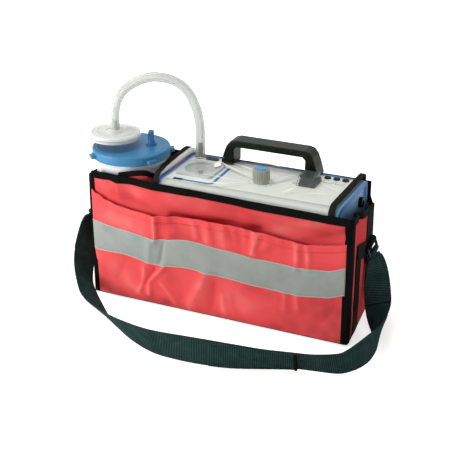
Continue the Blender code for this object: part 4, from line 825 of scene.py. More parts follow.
# Finishes of this pump
FINISH = {
    "red_nylon": coated_nylon("coated_nylon_red_woven", "#E45A5C", "#D84548", 0.0),
    # The pocket's red is paler and pinker than the shell's: in part a painted sheen of its satin coating,
    # besides its real gloss
    "pocket_nylon": coated_nylon("coated_nylon_red_pocket_painted_sheen", "#F4575A", "#E63E41", 0.16),
    "reflective_tape": reflective_fabric(),
    "strap_webbing": webbing("polypropylene_webbing_woven", "#42605C", "#122220", 2.4),
    "tab_webbing": webbing("polypropylene_webbing_tab", "#1C2321", "#070B0A", 3.0, "Y"),
    "binding": webbing("polyester_binding_grosgrain", "#1C1E1D", "#090A0A", 1.6),
    "cover_binding": webbing("polyester_binding_worn", "#3E3C37", "#171614", 1.6),
    "pale_thread": webbing("polyester_thread_pale", "#CDD2C8", "#A9AFA5", 1.6),
    "dark_thread": webbing("polyester_thread_black", "#3A3F3C", "#1A1D1C", 1.6),
    "red_thread": webbing("polyester_thread_red", "#EE5E60", "#E04C4F", 1.6),
    "clear_pvc": clear_film(),
    # White slivers along the film's creases, as painted highlights
    "crease": clear_plastic("clear_vinyl_crease_painted_highlight", "#FFFFFF", 0.92, 1.0, 0.2),
    "white_abs": moulded("abs_white_moulded", "#C3C6BF", "#B3B6AF", 0.34),
    "blue_abs": end_cap_blue(),
    "cap_blue": moulded("abs_blue_moulded", "#2F78CC", "#2166BC", 0.4),
    "panel_film": moulded("polyester_panel_film_printed", "#E8EBE2", "#DFE3D9", 0.45, 0.3, 40, 0.03),
    "print_blue": moulded("screen_print_blue", "#1F6BAC", "#165C9A", 0.5, 0.3, 10, 0.03),
    "print_grey": moulded("screen_print_grey", "#6E7674", "#5C6462", 0.5, 0.3, 10, 0.03),
    "black_abs": moulded("abs_black_moulded", "#101612", "#080B09", 0.42, 0.6, 20, 0.12, specular=0.06),
    "handle_black": moulded(
        "abs_black_polished_moulded", "#121A15", "#0A0F0B", 0.3, 0.6, 20, 0.1, specular=0.1
    ),
    "grey_abs": moulded("abs_grey_moulded", "#A3A498", "#919387", 0.5),
    # The knob's ribs are a paler copy of its grey, a painted highlight on their crests
    "rib_grey_highlit": moulded("abs_grey_rib_painted_highlight", "#B9BAAE", "#AAABA0", 0.45),
    "gauge_grey": moulded("abs_pale_grey_moulded", "#BFC5C1", "#B2B8B4", 0.4),
    "dial_white": moulded("dial_card_printed", "#C6CCC8", "#BCC2BE", 0.6, 0.3, 15, 0.03),
    "nipple": moulded("brass_nickel_dull", "#8C8A7C", "#74736A", 0.4),
    "clear_polycarbonate": clear_plastic("polycarbonate_clear_moulded", "#F0F3F3", 0.72, 0.9, 0.2),
    "lens_clear": clear_plastic("acrylic_clear_moulded", "#E6EAE8", 0.1, 0.3, 0.05),
    "splash_vinyl": clear_plastic("vinyl_splash_cap_dipped", "#4C5450", 0.5, 0.8, 0.2),
    "lamp_dark": moulded("lamp_lens_tinted_moulded", "#10241A", "#0A1811", 0.15, 0.3, 10, 0.02, specular=0.2),
    "lid_blue": moulded(
        "polypropylene_blue_moulded", "#3A81AD", "#2F719B", 0.4, 0.5, 30, 0.04, specular=0.28
    ),
    "spout_blue": moulded("polypropylene_dark_blue_moulded", "#2F74AC", "#24659C", 0.36),
    "knob_blue": moulded("abs_cap_blue_moulded", "#4BA0D2", "#3E90C2", 0.4),
    "silicone": clear_plastic("silicone_rubber_extruded", "#CACECA", 0.42, 0.9, 0.15),
    "silicone_bore": clear_plastic("silicone_rubber_bore", "#D2D5D0", 0.15, 0.7, 0.15),
    "filter_white": clear_plastic("polypropylene_natural_moulded", "#E9ECEA", 0.42, 0.95, 0.14),
    "membrane": moulded("glass_fibre_membrane_pressed", "#ECEDEA", "#E0E2DE", 0.8),
    "rubber": moulded("rubber_black_moulded", "#121413", "#0A0B0B", 0.7),
    "steel": metal("steel_drawn", "#B7B9BB", 0.3),
    "black_steel": metal("steel_blackened", "#1C1E1F", 0.4),
    "aluminium": metal("aluminium_machined", "#C9CCCE", 0.35),
    "circuit_green": moulded("glass_epoxy_board_laminated", "#2F6B40", "#275C36", 0.45),
}


def dress(mesh, finish):
    """Gives a mesh one finish in place of any other."""
    mesh.materials.clear()
    mesh.materials.append(FINISH[finish])


def piece(name, bm, finish, body="pump", sharp_deg=40.0):
    """An object of a mesh in millimetres, with its finish, riding on a body."""
    bmesh.ops.scale(bm, vec=(MM, MM, MM), verts=bm.verts)
    mesh = bpy.data.meshes.new(name)
    bm.to_mesh(mesh)
    bm.free()
    mesh.shade_smooth()
    mesh.set_sharp_from_angle(angle=math.radians(sharp_deg))
    obj = bpy.data.objects.new(name, mesh)
    bpy.context.scene.collection.objects.link(obj)
    dress(mesh, finish)
    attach(obj, body)
    return obj


def lengths_along(points):
    """Running length of a row of points."""
    run = [0.0]
    for a, b in zip(points, points[1:]):
        run.append(run[-1] + (b - a).length)
    return run


def directions(points):
    """Which way a row of points goes at each of them, from its neighbours."""
    last = len(points) - 1
    return [points[min(i + 1, last)] - points[max(i - 1, 0)] for i in range(last + 1)]


def bent(start, tip, end, t):
    """A place on the bend that leaves start for its tip and comes round to end."""
    return start * (1 - t) ** 2 + tip * 2 * t * (1 - t) + end * t**2


def grid_mesh(rows, closed=False, painted_light=None):
    """Quads through rows of points, with a map in metres, and the cloth's painted light and shade at each
    point.
    """
    bm = bmesh.new()
    layer = bm.loops.layers.uv.new("UVMap")
    toning = bm.verts.layers.float.new("painted_light")
    across = lengths_along(rows[len(rows) // 2])
    up = lengths_along([row[len(row) // 2] for row in rows])
    verts = [[bm.verts.new(point) for point in row] for row in rows]
    count = len(rows[0])
    for row, shares in zip(verts, painted_light or []):
        for vert, share in zip(row, shares):
            vert[toning] = share
    for j in range(len(rows) - 1):
        for i in range(count if closed else count - 1):
            k = (i + 1) % count
            face = bm.faces.new((verts[j][i], verts[j][k], verts[j + 1][k], verts[j + 1][i]))
            far = across[i + 1] if i + 1 < count else across[-1] + SHELL_STEP
            corners = ((across[i], up[j]), (far, up[j]), (far, up[j + 1]), (across[i], up[j + 1]))
            for loop, corner in zip(face.loops, corners):
                loop[layer].uv = (corner[0] * MM, corner[1] * MM)
    return bm


def thicken(obj, thickness, offset=-1.0):
    """Gives a sheet its thickness, behind its face or, with no offset, on both sides."""
    modifier = obj.modifiers.new("cloth", "SOLIDIFY")
    modifier.thickness = thickness * MM
    modifier.offset = offset
    return obj


def sweep(name, loops, finish, body="pump", closed=False):
    """A solid through loops of equal count, as a ring or with two ends, with a map in metres."""
    bm = bmesh.new()
    layer = bm.loops.layers.uv.new("UVMap")
    rings = [[bm.verts.new(point) for point in loop] for loop in loops]
    count = len(loops[0])
    middles = [sum(loop, Vector()) / count for loop in loops]
    run = lengths_along(middles + middles[:1])
    round_it = lengths_along(loops[0] + loops[0][:1])
    for j in range(len(rings) if closed else len(rings) - 1):
        near, far = rings[j], rings[(j + 1) % len(rings)]
        for i in range(count):
            k = (i + 1) % count
            face = bm.faces.new((near[i], near[k], far[k], far[i]))
            corners = ((j, i), (j, i + 1), (j + 1, i + 1), (j + 1, i))
            for loop, (along, side) in zip(face.loops, corners):
                loop[layer].uv = (run[along] * MM, round_it[side] * MM)
    if not closed:
        bm.faces.new(rings[0][::-1])
        bm.faces.new(rings[-1])
    bmesh.ops.recalc_face_normals(bm, faces=bm.faces)
    return piece(name, bm, finish, body)


def turned(name, profile, centre, finish, body="pump", steps=72):
    """A ring turned round an upright axis, from a closed outline of (radius, height)."""
    loops = []
    for i in range(steps):
        turn = 2 * math.pi * i / steps
        ahead = Vector((math.cos(turn), math.sin(turn), 0))
        loops.append([Vector((*centre, z)) + ahead * radius for radius, z in profile])
    return sweep(name, loops, finish, body, closed=True)


def smooth_curve(points, count):
    """Evenly spaced points on a smooth curve through a route's own points, of any dimension."""
    knots = [Vector(p) for p in points]
    knots = [knots[0] * 2 - knots[1]] + knots + [knots[-1] * 2 - knots[-2]]
    steps = 24
    dense = []
    for a, b, c, d in zip(knots, knots[1:], knots[2:], knots[3:]):
        for i in range(steps):
            t = i / steps
            square = (2 * a - 5 * b + 4 * c - d) * t**2
            cube = (3 * b - a - 3 * c + d) * t**3
            dense.append(0.5 * (2 * b + (c - a) * t + square + cube))
    dense.append(knots[-2])
    run = lengths_along([p.to_3d() for p in dense])
    even = []
    k = 0
    for i in range(count):
        goal = run[-1] * i / (count - 1)
        while k < len(dense) - 2 and run[k + 1] < goal:
            k += 1
        share = (goal - run[k]) / max(run[k + 1] - run[k], 1e-9)
        even.append(dense[k].lerp(dense[k + 1], min(share, 1.0)))
    return even


def level_at(table, x):
    """Height at x on a smooth line through (x, height) pairs."""
    if x <= table[0][0]:
        return table[0][1]
    for (x0, z0), (x1, z1) in zip(table, table[1:]):
        if x <= x1:
            return z0 + (z1 - z0) * ease(x0, x1, x)
    return table[-1][1]


def fold_height(folds, x, z):
    """Height of all ridges at a place: each is a smooth ridge round a line, fading out past its ends."""
    total = 0.0
    for line, width, height in folds:
        nearest = math.inf
        for (x0, z0), (x1, z1) in zip(line, line[1:]):
            along = (x1 - x0) ** 2 + (z1 - z0) ** 2
            t = max(0.0, min(1.0, ((x - x0) * (x1 - x0) + (z - z0) * (z1 - z0)) / along))
            nearest = min(nearest, math.hypot(x - x0 - t * (x1 - x0), z - z0 - t * (z1 - z0)))
        total += height * math.exp(-((nearest / width) ** FOLD_CREST))
    return total


def rumple(x, y, z, size, height):
    """Slow unevenness of hanging cloth."""
    return height * noise.noise(Vector((x, y, z)) / size)


def stitches(name, rows, finish):
    """Rows of single stitches, each a low ridge, along paths on a surface with their outward directions."""
    bm = bmesh.new()
    for points, outs in rows:
        run = lengths_along(points)
        place = STITCH_GAP
        k = 0
        while place + STITCH_LENGTH < run[-1]:
            ends = []
            for goal in (place, place + STITCH_LENGTH):
                while run[k + 1] < goal:
                    k += 1
                share = (goal - run[k]) / (run[k + 1] - run[k])
                ends.append(points[k].lerp(points[k + 1], share))
            out = Vector(outs[k]).normalized()
            middle = (ends[0] + ends[1]) / 2
            side = (ends[1] - ends[0]).cross(out).normalized() * STITCH_WIDTH / 2
            base = [bm.verts.new(p) for p in (ends[0], middle + side, ends[1], middle - side)]
            crest = bm.verts.new(middle + out * STITCH_RISE)
            for i in range(4):
                bm.faces.new((base[i], base[(i + 1) % 4], crest))
            bm.faces.new(base[::-1])
            place += STITCH_LENGTH + STITCH_GAP
    bmesh.ops.recalc_face_normals(bm, faces=bm.faces)
    row = piece(name, bm, finish)
    return row


# Camera and cords


def camera():
    """The camera of the main view."""
    data = bpy.data.cameras.new("camera")
    data.lens = CAMERA_LENS
    obj = bpy.data.objects.new("camera", data)
    obj.location = CAMERA_PLACE
    obj.rotation_euler = (math.radians(CAMERA_TILT_DEG), 0, math.radians(CAMERA_TURN_DEG))
    bpy.context.scene.collection.objects.link(obj)
    bpy.context.scene.camera = obj


def strap_frames(stations):
    """Middle, across and outward direction at each station of a strap."""
    middles = [Vector(middle) for middle, _ in stations]
    frames = []
    for middle, ahead, (_, across) in zip(middles, directions(middles), stations):
        ahead.normalize()
        across = Vector(across)
        across = (across - ahead * across.dot(ahead)).normalized()
        frames.append((middle, across, ahead.cross(across)))
    return frames


def ribbon(name, stations, width, offset=0.0, finish="strap_webbing"):
    """Flat webbing through (middle, across) stations, thicker along its middle than at its edges."""
    shares = [2 * j / STRAP_COLUMNS - 1 for j in range(STRAP_COLUMNS + 1)]
    loops = []
    for middle, across, out in strap_frames(stations):
        loop = []
        for side in (1, -1):
            for share in shares[::side]:
                half = STRAP_THICKNESS / 2 * (1 - (1 - STRAP_EDGE) * share**8)
                loop.append(middle + across * (width / 2 * share) + out * (offset + half * side))
        loops.append(loop)
    layer = sweep(name, loops, finish)
    return layer


def strap_seam(name, stations, width, rise):
    """Stitches on a doubled length of strap: along its edges, across its ends and along its diagonals."""
    frames = strap_frames(stations)
    half = width / 2 - STRAP_INSET
    last = len(frames) - 1
    lines = [
        [(i, half) for i in range(last + 1)],
        [(i, -half) for i in range(last + 1)],
        [(0, -half), (0, half)],
        [(last, -half), (last, half)],
        [(i, half * (2 * i / last - 1)) for i in range(last + 1)],
        [(i, half * (1 - 2 * i / last)) for i in range(last + 1)],
    ]
    rows = []
    for line in lines:
        points = [frames[i][0] + frames[i][1] * s + frames[i][2] * rise for i, s in line]
        rows.append((points, [frames[i][2] * math.copysign(1, rise) for i, _ in line]))
    return stitches(name, rows, "dark_thread")


def strap_roll(name, tab):
    """The strap's end where it turns round the bar of its ring."""
    _, out, bar = TABS[tab]
    along = Vector((-out[1], out[0], 0))
    middle_radius = ROLL_RADIUS - STRAP_THICKNESS / 2
    stations = []
    for i in range(ROLL_STEPS + 1):
        turn = math.radians(ROLL_START_DEG + ROLL_TURN_DEG * i / ROLL_STEPS)
        around = Vector((*out, 0)) * math.cos(turn) + UP * math.sin(turn)
        stations.append((Vector(bar) + around * middle_radius, along))
    return ribbon(name, stations, STRAP_WIDTH)


def shoulder_strap():
    """The strap from ring to ring, with its turned-back ends and the overlap where it is joined."""
    joined = [(*middle, *across) for middle, across in STRAP_ROUTE]
    samples = smooth_curve(joined, STRAP_SAMPLES)
    stations = [(sample[:3], sample[3:]) for sample in samples]
    strap = ribbon("strap_webbing", stations, STRAP_WIDTH)
    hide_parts("shoulder_strap")
    first, last = STRAP_OVERLAP
    doubled = {
        "strap_fold_left": (stations[1:STRAP_FOLD], STRAP_THICKNESS),
        "strap_fold_right": (stations[-STRAP_FOLD:-1], -STRAP_THICKNESS),
        "strap_overlap": (stations[first:last], STRAP_THICKNESS),
    }
    pieces = [strap_roll("strap_roll_left", "left"), strap_roll("strap_roll_right", "right")]
    for name, (part, offset) in doubled.items():
        pieces.append(ribbon(name, part, DOUBLED_WIDTH, offset))
        inner = part[SEAM_SHORT:-SEAM_SHORT]
        pieces.append(strap_seam(f"{name}_seam", inner, DOUBLED_WIDTH, offset * DOUBLED_FACE))
    # Painted shade: a black strip at the overlap's end stands for the shade in the gap between the layers
    shade_span = stations[last - STRAP_SHADE_SAMPLES : last]
    rise = DOUBLED_FACE * STRAP_THICKNESS
    pieces.append(ribbon("strap_overlap_shade_strip", shade_span, STRAP_WIDTH, rise, "binding"))


def hose(name, points, radius, finish):
    """A round length of silicone along points."""
    data = bpy.data.curves.new(name, "CURVE")
    data.dimensions = "3D"
    data.bevel_depth = radius * MM
    data.bevel_resolution = 6
    data.use_fill_caps = True
    spline = data.splines.new("POLY")
    spline.points.add(len(points) - 1)
    for knot, point in zip(spline.points, points):
        knot.co = (*(Vector(point) * MM), 1.0)
    data.materials.append(FINISH[finish])
    obj = bpy.data.objects.new(name, data)
    bpy.context.scene.collection.objects.link(obj)
    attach(obj, "pump")
    return obj


def suction_tube():
    """The tube from the filter to the vacuum port, with its bore showing through."""
    foot = Vector(FILTER_PLACE)
    span = Vector(PORT_PLACE) - foot
    route = [(*(foot + span * share), height) for share, height in TUBE_ROUTE]
    points = smooth_curve(route, TUBE_SAMPLES)
    tube = hose("silicone_tube", points, TUBE_RADIUS, "silicone")
    bore = hose("silicone_tube_bore", points[1:-1], TUBE_BORE, "silicone_bore")
    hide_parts("suction_tube")


# Bag


def front_y(x, z):
    """Outer face of the front: it leans out to its top and swells a little at the middle."""
    share = (x - FRONT_LEFT_X) / (FRONT_RIGHT_X - FRONT_LEFT_X)
    up = z / FRONT_TOP_LEFT
    belly = FRONT_BELLY * math.sin(math.pi * min(max(share, 0), 1)) * up
    return BAG_FRONT - FRONT_LEAN * up - belly


def end_share(y):
    """How far back a place on an end is, from 0 at the front to 1."""
    return min(max((y - END_FRONT) / (END_BACK - END_FRONT), 0), 1)


def left_x(y):
    """Outer face of the left end, which bulges round the jar."""
    straight = FRONT_LEFT_X + (BACK_LEFT_X - FRONT_LEFT_X) * end_share(y)
    return straight - LEFT_BULGE * math.sin(math.pi * end_share(y))


def right_x(y):
    """Outer face of the right end."""
    return FRONT_RIGHT_X + (BACK_RIGHT_X - FRONT_RIGHT_X) * (y - BAG_FRONT) / (BAG_BACK - BAG_FRONT)


def end_top(y):
    """Top edge of both ends, which falls to the back."""
    return END_TOP_FRONT + (END_TOP_BACK - END_TOP_FRONT) * end_share(y)


def front_top(x):
    """Top edge of the front, which falls a little to the right."""
    share = (x - FRONT_LEFT_X) / (FRONT_RIGHT_X - FRONT_LEFT_X)
    return FRONT_TOP_LEFT + (FRONT_TOP_RIGHT - FRONT_TOP_LEFT) * share


def bag_outline():
    """Stations round the bag as (x, y, top edge), and the first and last place of each corner among them.

    They start at its left front and go anticlockwise, seen from above.
    """
    count = int((FRONT_RIGHT_X - FRONT_LEFT_X - 2 * CORNER) / SHELL_STEP)
    xs = [FRONT_LEFT_X + CORNER + i * SHELL_STEP for i in range(count + 1)]
    count = int((BAG_BACK - BAG_FRONT - 2 * CORNER) / SHELL_STEP)
    ys = [BAG_FRONT + CORNER + i * SHELL_STEP for i in range(count + 1)]
    back_xs = [x for x in xs[::-1] if BACK_LEFT_X + CORNER < x < BACK_RIGHT_X - CORNER]
    sides = [
        [(x, BAG_FRONT, front_top(x)) for x in xs],
        [(right_x(y), y, end_top(y)) for y in ys],
        [(x, BAG_BACK, BACK_TOP) for x in back_xs],
        [(left_x(y), y, end_top(y)) for y in ys[::-1]],
    ]
    tips = [
        (FRONT_RIGHT_X, BAG_FRONT),
        (BACK_RIGHT_X, BAG_BACK),
        (BACK_LEFT_X, BAG_BACK),
        (FRONT_LEFT_X, BAG_FRONT),
    ]
    stations = []
    corners = []
    for side, tip, following in zip(sides, tips, sides[1:] + sides[:1]):
        stations += side
        first = len(stations) - 2
        a, b = Vector(side[-1]), Vector(following[0])
        bend = Vector((*tip, (a.z + b.z) / 2))
        for i in range(1, CORNER_STEPS):
            place = bent(a, bend, b, i / CORNER_STEPS)
            place.z = min(a.z, b.z)  # the back stands up past the ends in one step
            stations.append(tuple(place))
        corners.append((first, len(stations) + 1))
    return stations, corners


def outline_normals(stations):
    """Outward direction at each station round the bag."""
    normals = []
    for i in range(len(stations)):
        a, b = stations[i - 1], stations[(i + 1) % len(stations)]
        normals.append(Vector((b[1] - a[1], a[0] - b[0], 0)).normalized())
    return normals


def bag_point(x, y, z):
    """Where the bag's outer face is once it has sagged and creased."""
    ahead = 1 - ease(BAG_FRONT, BAG_FRONT + CORNER, y)
    behind = ease(BAG_BACK - CORNER, BAG_BACK, y)
    side = 1 - max(ahead, behind)
    creases = fold_height(FRONT_FOLDS, x, z) * ease(*FRONT_FOLDS_RISE, z)
    point = Vector((x, y, z))
    point.y += ahead * (front_y(x, z) - BAG_FRONT - creases + rumple(x, FRONT_PLANE, z, *FRONT_RUMPLE))
    point.y += behind * (fold_height(BACK_FOLDS, x, z) + rumple(x, BACK_PLANE, z, *BACK_RUMPLE))
    point.x += side * rumple(x, y, z, *END_RUMPLE)
    if x > 0:
        gusset = math.exp(-(((y - GUSSET_Y) / GUSSET_WIDTH) ** 2)) * ease(*GUSSET_RISE, z)
        point.x -= side * GUSSET_DEPTH * gusset
        point.x -= behind * BACK_STEP * ease(*BACK_STEP_RISE, z) * ease(*BACK_STEP_REACH, x)
    return point


def painted_light_at(tones, plane, rumpling, x, z):
    """How much painted highlight a red gets, or painted shade below 0, which comes and goes along each line
    of tone.
    """
    uneven = TONE_LEVEL + rumple(x, plane, z, *rumpling)
    return min(max(fold_height(tones, x, z) * uneven, -1.0), 1.0)


def front_painted_light(x, y, z):
    """Painted light and shade on the bag's shell, which has none apart from its front."""
    if y >= FRONT_REACH:
        return 0.0
    return painted_light_at(FRONT_PAINTED_LIGHT, FRONT_TONE_PLANE, FRONT_TONE_RUMPLE, x, z)


def bag_shell():
    """One shell lofted round the front, ends and back, and the tapes on its top edge and its corners."""
    stations, corners = bag_outline()
    foot = SHELL_FOOT
    rows = []
    painted_light = []
    for j in range(SHELL_ROWS + 1):
        places = [(x, y, foot + (top - foot) * j / SHELL_ROWS) for x, y, top in stations]
        rows.append([bag_point(*place) for place in places])
        # Painted highlights and shade on the front, kept on the cloth
        painted_light.append([front_painted_light(*place) for place in places])
    shell = thicken(piece("bag_shell", grid_mesh(rows, closed=True, painted_light=painted_light), "red_nylon"), FABRIC)
    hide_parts("bag_front_panel", "bag_back_panel", "bag_left_panel", "bag_right_panel")

    normals = outline_normals(stations)
    loops = []
    for (x, y, top), out in zip(stations, normals):
        outer = [bag_point(x, y, top - drop) + out * TAPE_RISE for drop in TAPE_DROPS]
        inner = [bag_point(x, y, top - drop) - out * (FABRIC + TAPE_RISE) for drop in TAPE_DROPS]
        crown = bag_point(x, y, top) - out * FABRIC / 2 + UP * TAPE_CROWN
        loops.append(outer + [crown] + inner[::-1])
    sweep("binding_rim", loops, "binding", closed=True)

    for name, (first, last) in zip(("front_right", "back_right", "back_left", "front_left"), corners):
        places = [i % len(stations) for i in range(first, last + 1)]
        loops = []
        for j in range(SHELL_ROWS + 1):
            outer, inner = [], []
            for i in places:
                x, y, top = stations[i]
                z = foot + (top - TAPE_END - foot) * j / SHELL_ROWS
                rise = TAPE_RISE
                if y < FRONT_REACH:
                    rise += (TAPE_OVER_POCKET - TAPE_RISE) * (1 - ease(*TAPE_STEP, z - pocket_mouth(x)))
                point = bag_point(x, y, z)
                outer.append(point + normals[i] * rise)
                inner.append(point - normals[i] * TAPE_UNDER)
            loops.append(outer + inner[::-1])
        sweep(f"binding_{name}", loops, "binding")


def back_edge_tape():
    """Tape over the upright edge of the back, beside the end that is cut lower, whose wide black leg over the
    back's inner face is in part painted shade.
    """
    rise = BACK_TOP - END_TOP_BACK
    heights = [END_TOP_BACK + rise * i / BACK_EDGE_STEPS for i in range(BACK_EDGE_STEPS + 1)]
    points = [Vector((BACK_RIGHT_X - BACK_STEP, BAG_BACK - FABRIC / 2, z)) for z in heights]
    outs = [Vector((0, 1, 0))] * len(points)
    binding("binding_back_edge", points, outs, [Vector((1, 0, 0))] * len(points), BACK_EDGE_TAPE, "binding")


def bag_base():
    """The stiff base, with a rounded rim."""
    stations, _ = bag_outline()
    loops = []
    for inset, z in BASE_RIM:
        loops.append([])
        for (x, y, _), out in zip(stations, outline_normals(stations)):
            loops[-1].append(Vector((x, y, z)) - out * inset)
    base = sweep("bag_base_board", loops, "binding")
    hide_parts("bag_bottom")


def end_strip(name, side_x, ys, bottom, top, rise):
    """Webbing sewn flat on an end of the bag, between two heights that may slope."""
    rows = []
    for j in range(STRIP_ROWS + 1):
        row = []
        for i in range(STRIP_COLUMNS + 1):
            y = ys[0] + (ys[1] - ys[0]) * i / STRIP_COLUMNS
            z = bottom(y) + (top(y) - bottom(y)) * j / STRIP_ROWS
            point = bag_point(side_x(y), y, z)
            point.x += rise if point.x > 0 else -rise
            row.append(point)
        rows.append(row if side_x is right_x else row[::-1])
    strip = thicken(piece(name, grid_mesh(rows), "tab_webbing"), STRIP_THICKNESS)


def sloped(height, slope=0.0):
    """Heights across an end of the bag, from the height at y = 0."""
    return lambda y: height + slope * y


def end_webbing():
    """Webbing on both ends of the bag, and the tabs of the strap's rings on top of it."""

    def below_edge(y):
        return end_top(y) - BACK_STRIP_DROP

    low = sloped(STRIP_FOOT)
    end_strip("end_strip_front", right_x, FRONT_STRIP_REACH, low, sloped(FRONT_STRIP_TOP), STRIP_RISE)
    end_strip("end_strip_slant", right_x, SLANT_REACH, sloped(*SLANT_FOOT), sloped(*SLANT_TOP), SLANT_RISE)
    end_strip("end_strip_back", right_x, BACK_STRIP_REACH, sloped(BACK_STRIP_FOOT), below_edge, STRIP_RISE)
    end_strip("end_strip_left", left_x, LEFT_STRIP_REACH, low, sloped(LEFT_STRIP_TOP), STRIP_RISE)
    for name in TABS:
        strap_tab(name)


def strap_tab(name):
    """The tab that holds a ring: a plate sewn on the bag's end, and a loop round the ring."""
    foot, out, _ = TABS[name]
    face = Vector((*out, 0))
    along = Vector((-out[1], out[0], 0))
    section = [(TAB_GAP, TAB_BOTTOM), (TAB_PLATE, TAB_BOTTOM), (TAB_PLATE, TAB_NECK)]
    for i in range(LOOP_STEPS + 1):
        turn = math.radians(LOOP_START_DEG + LOOP_TURN_DEG * i / LOOP_STEPS)
        section.append((LOOP_OUT + LOOP_RADIUS * math.cos(turn), LOOP_Z + LOOP_RADIUS * math.sin(turn)))
    section.append((TAB_GAP, TAB_TOP))
    loops = []
    for share in TAB_SHARES:
        slim = TAB_SLIM if abs(share) == 1 else 0.0
        middle = Vector((*foot, 0)) + along * (TAB_WIDTH / 2 * share)
        loops.append([middle + face * (o - slim) + UP * z for o, z in section])
    tab = sweep(f"strap_tab_{name}_cloth", loops, "tab_webbing")
    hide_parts(f"strap_tab_{name}")
    rows = []
    for z in TAB_SEAMS:
        row = []
        for share in (-TAB_SEAM_SHARE, TAB_SEAM_SHARE):
            place = Vector((*foot, z)) + along * (TAB_WIDTH / 2 * share)
            row.append(place + face * TAB_PLATE)
        rows.append((row, [face, face]))
    stitches(f"strap_tab_{name}_seam", rows, "dark_thread")


def pocket_mouth(x):
    """Height of the pocket's mouth across the front."""
    return level_at(POCKET_MOUTH, x)


def pocket_y(x, z):
    """Outer face of the pocket, open most at the middle of its mouth, with its folds and gathers."""
    share = min(max((x - FRONT_LEFT_X) / (FRONT_RIGHT_X - FRONT_LEFT_X), 0), 1)
    mouth = pocket_mouth(x)
    up = max(z - BAG_FLOOR, 0) / (mouth - BAG_FLOOR)
    open_share = math.sin(math.pi * share) ** SIDE_SWELL
    bulge = POCKET_BULGE * open_share * min(up, 1.0) ** FOOT_SWELL
    hold = min(1.0, share * SIDE_HOLD, (1 - share) * SIDE_HOLD) * min(1.0, up * FOOT_HOLD)
    folds = fold_height(POCKET_FOLDS, x, z) * hold
    below = max(mouth - z, 0)
    for place, height in MOUTH_GATHERS:
        folds += height * math.exp(-(((x - place) / GATHER_WIDTH) ** 2) - (below / GATHER_DEPTH) ** 2)
    folds += rumple(x, POCKET_PLANE, z, *POCKET_RUMPLE) * hold
    spread = math.exp(-(((x - MOUTH_MIDDLE) / MOUTH_SPREAD) ** 2))
    flare = MOUTH_FLARE * spread * (1 - ease(0, MOUTH_DEPTH, below))
    return front_y(x, z) - POCKET_STANDOFF - bulge - flare - max(folds, -bulge)


def pocket_strip(name, low, high, rise, thickness, finish, rows_up):
    """Cloth of the pocket, or a strip on it, between two heights, with all its folds."""
    left, right = FRONT_LEFT_X + POCKET_INSET, FRONT_RIGHT_X - POCKET_INSET
    rows = []
    painted_light = []
    for j in range(rows_up + 1):
        row = []
        shares = []
        for i in range(POCKET_COLUMNS + 1):
            x = left + (right - left) * i / POCKET_COLUMNS
            z = low(x) + (high(x) - low(x)) * j / rows_up
            row.append(Vector((x, pocket_y(x, z) - rise, z)))
            # Painted highlights on the creases and painted shade in the hollows
            shares.append(painted_light_at(POCKET_PAINTED_LIGHT, POCKET_TONE_PLANE, POCKET_TONE_RUMPLE, x, z))
        rows.append(row)
        painted_light.append(shares)
    strip = thicken(piece(name, grid_mesh(rows, painted_light=painted_light), finish), thickness)
    return strip


def pocket_row(height, rise):
    """A path across the pocket at a height, for stitches."""
    left, right = FRONT_LEFT_X + POCKET_INSET + SEAM_INSET, FRONT_RIGHT_X - POCKET_INSET - SEAM_INSET
    points = []
    for i in range(POCKET_COLUMNS + 1):
        x = left + (right - left) * i / POCKET_COLUMNS
        z = height(x)
        points.append(Vector((x, pocket_y(x, z) - rise, z)))
    return points, [Vector((0, -1, 0))] * len(points)


def front_pocket():
    """The pocket with its hem and seam, and the reflective band with its two pale edges."""

    def foot(x):
        return SHELL_FOOT

    def hem(x):
        return pocket_mouth(x) - HEM_HEIGHT

    def band_low(x):
        return level_at(BAND_BOTTOM, x)

    def band_high(x):
        return level_at(BAND_TOP, x)

    cloth = pocket_strip(
        "front_pocket_cloth", foot, pocket_mouth, 0.0, POCKET_FABRIC, "pocket_nylon", POCKET_ROWS
    )
    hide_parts("front_pocket")
    pocket_strip("front_pocket_hem", hem, pocket_mouth, HEM_RISE, HEM_RISE, "pocket_nylon", HEM_ROWS)
    seam = pocket_row(lambda x: hem(x) + HEM_SEAM, HEM_RISE)
    stitches("front_pocket_seam", [seam], "red_thread")
    band = pocket_strip(
        "reflective_tape_band", band_low, band_high, BAND_RISE, BAND_THICKNESS, "reflective_tape", BAND_ROWS
    )
    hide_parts("reflective_band")
    for name, edge in (("lower", band_low), ("upper", band_high)):
        pocket_strip(
            f"band_edge_{name}",
            lambda x, edge=edge: edge(x) - BAND_EDGE / 2,
            lambda x, edge=edge: edge(x) + BAND_EDGE / 2,
            BAND_EDGE_RISE,
            BAND_THICKNESS,
            "pale_thread",
            rows_up=1,
        )


def binding(name, points, outs, ups, leg, finish):
    """Tape folded over a cut edge: along the points, with its outward and its edge direction at each."""
    half, thin = TAPE_HALF, TAPE_THICKNESS
    outline = [(half, -leg)]
    outline += [(half * share, height) for share, height in TAPE_FOLD]
    outline += [(-half, -leg), (-half + thin, -leg), (-half + thin, TAPE_INSIDE)]
    outline += [(half - thin, TAPE_INSIDE), (half - thin, -leg)]
    loops = []
    for point, out, up in zip(points, outs, ups):
        out = Vector(out).normalized()
        up = Vector(up).normalized()
        loops.append([Vector(point) + out * a + up * b for a, b in outline])
    tape = sweep(name, loops, finish)
    return tape


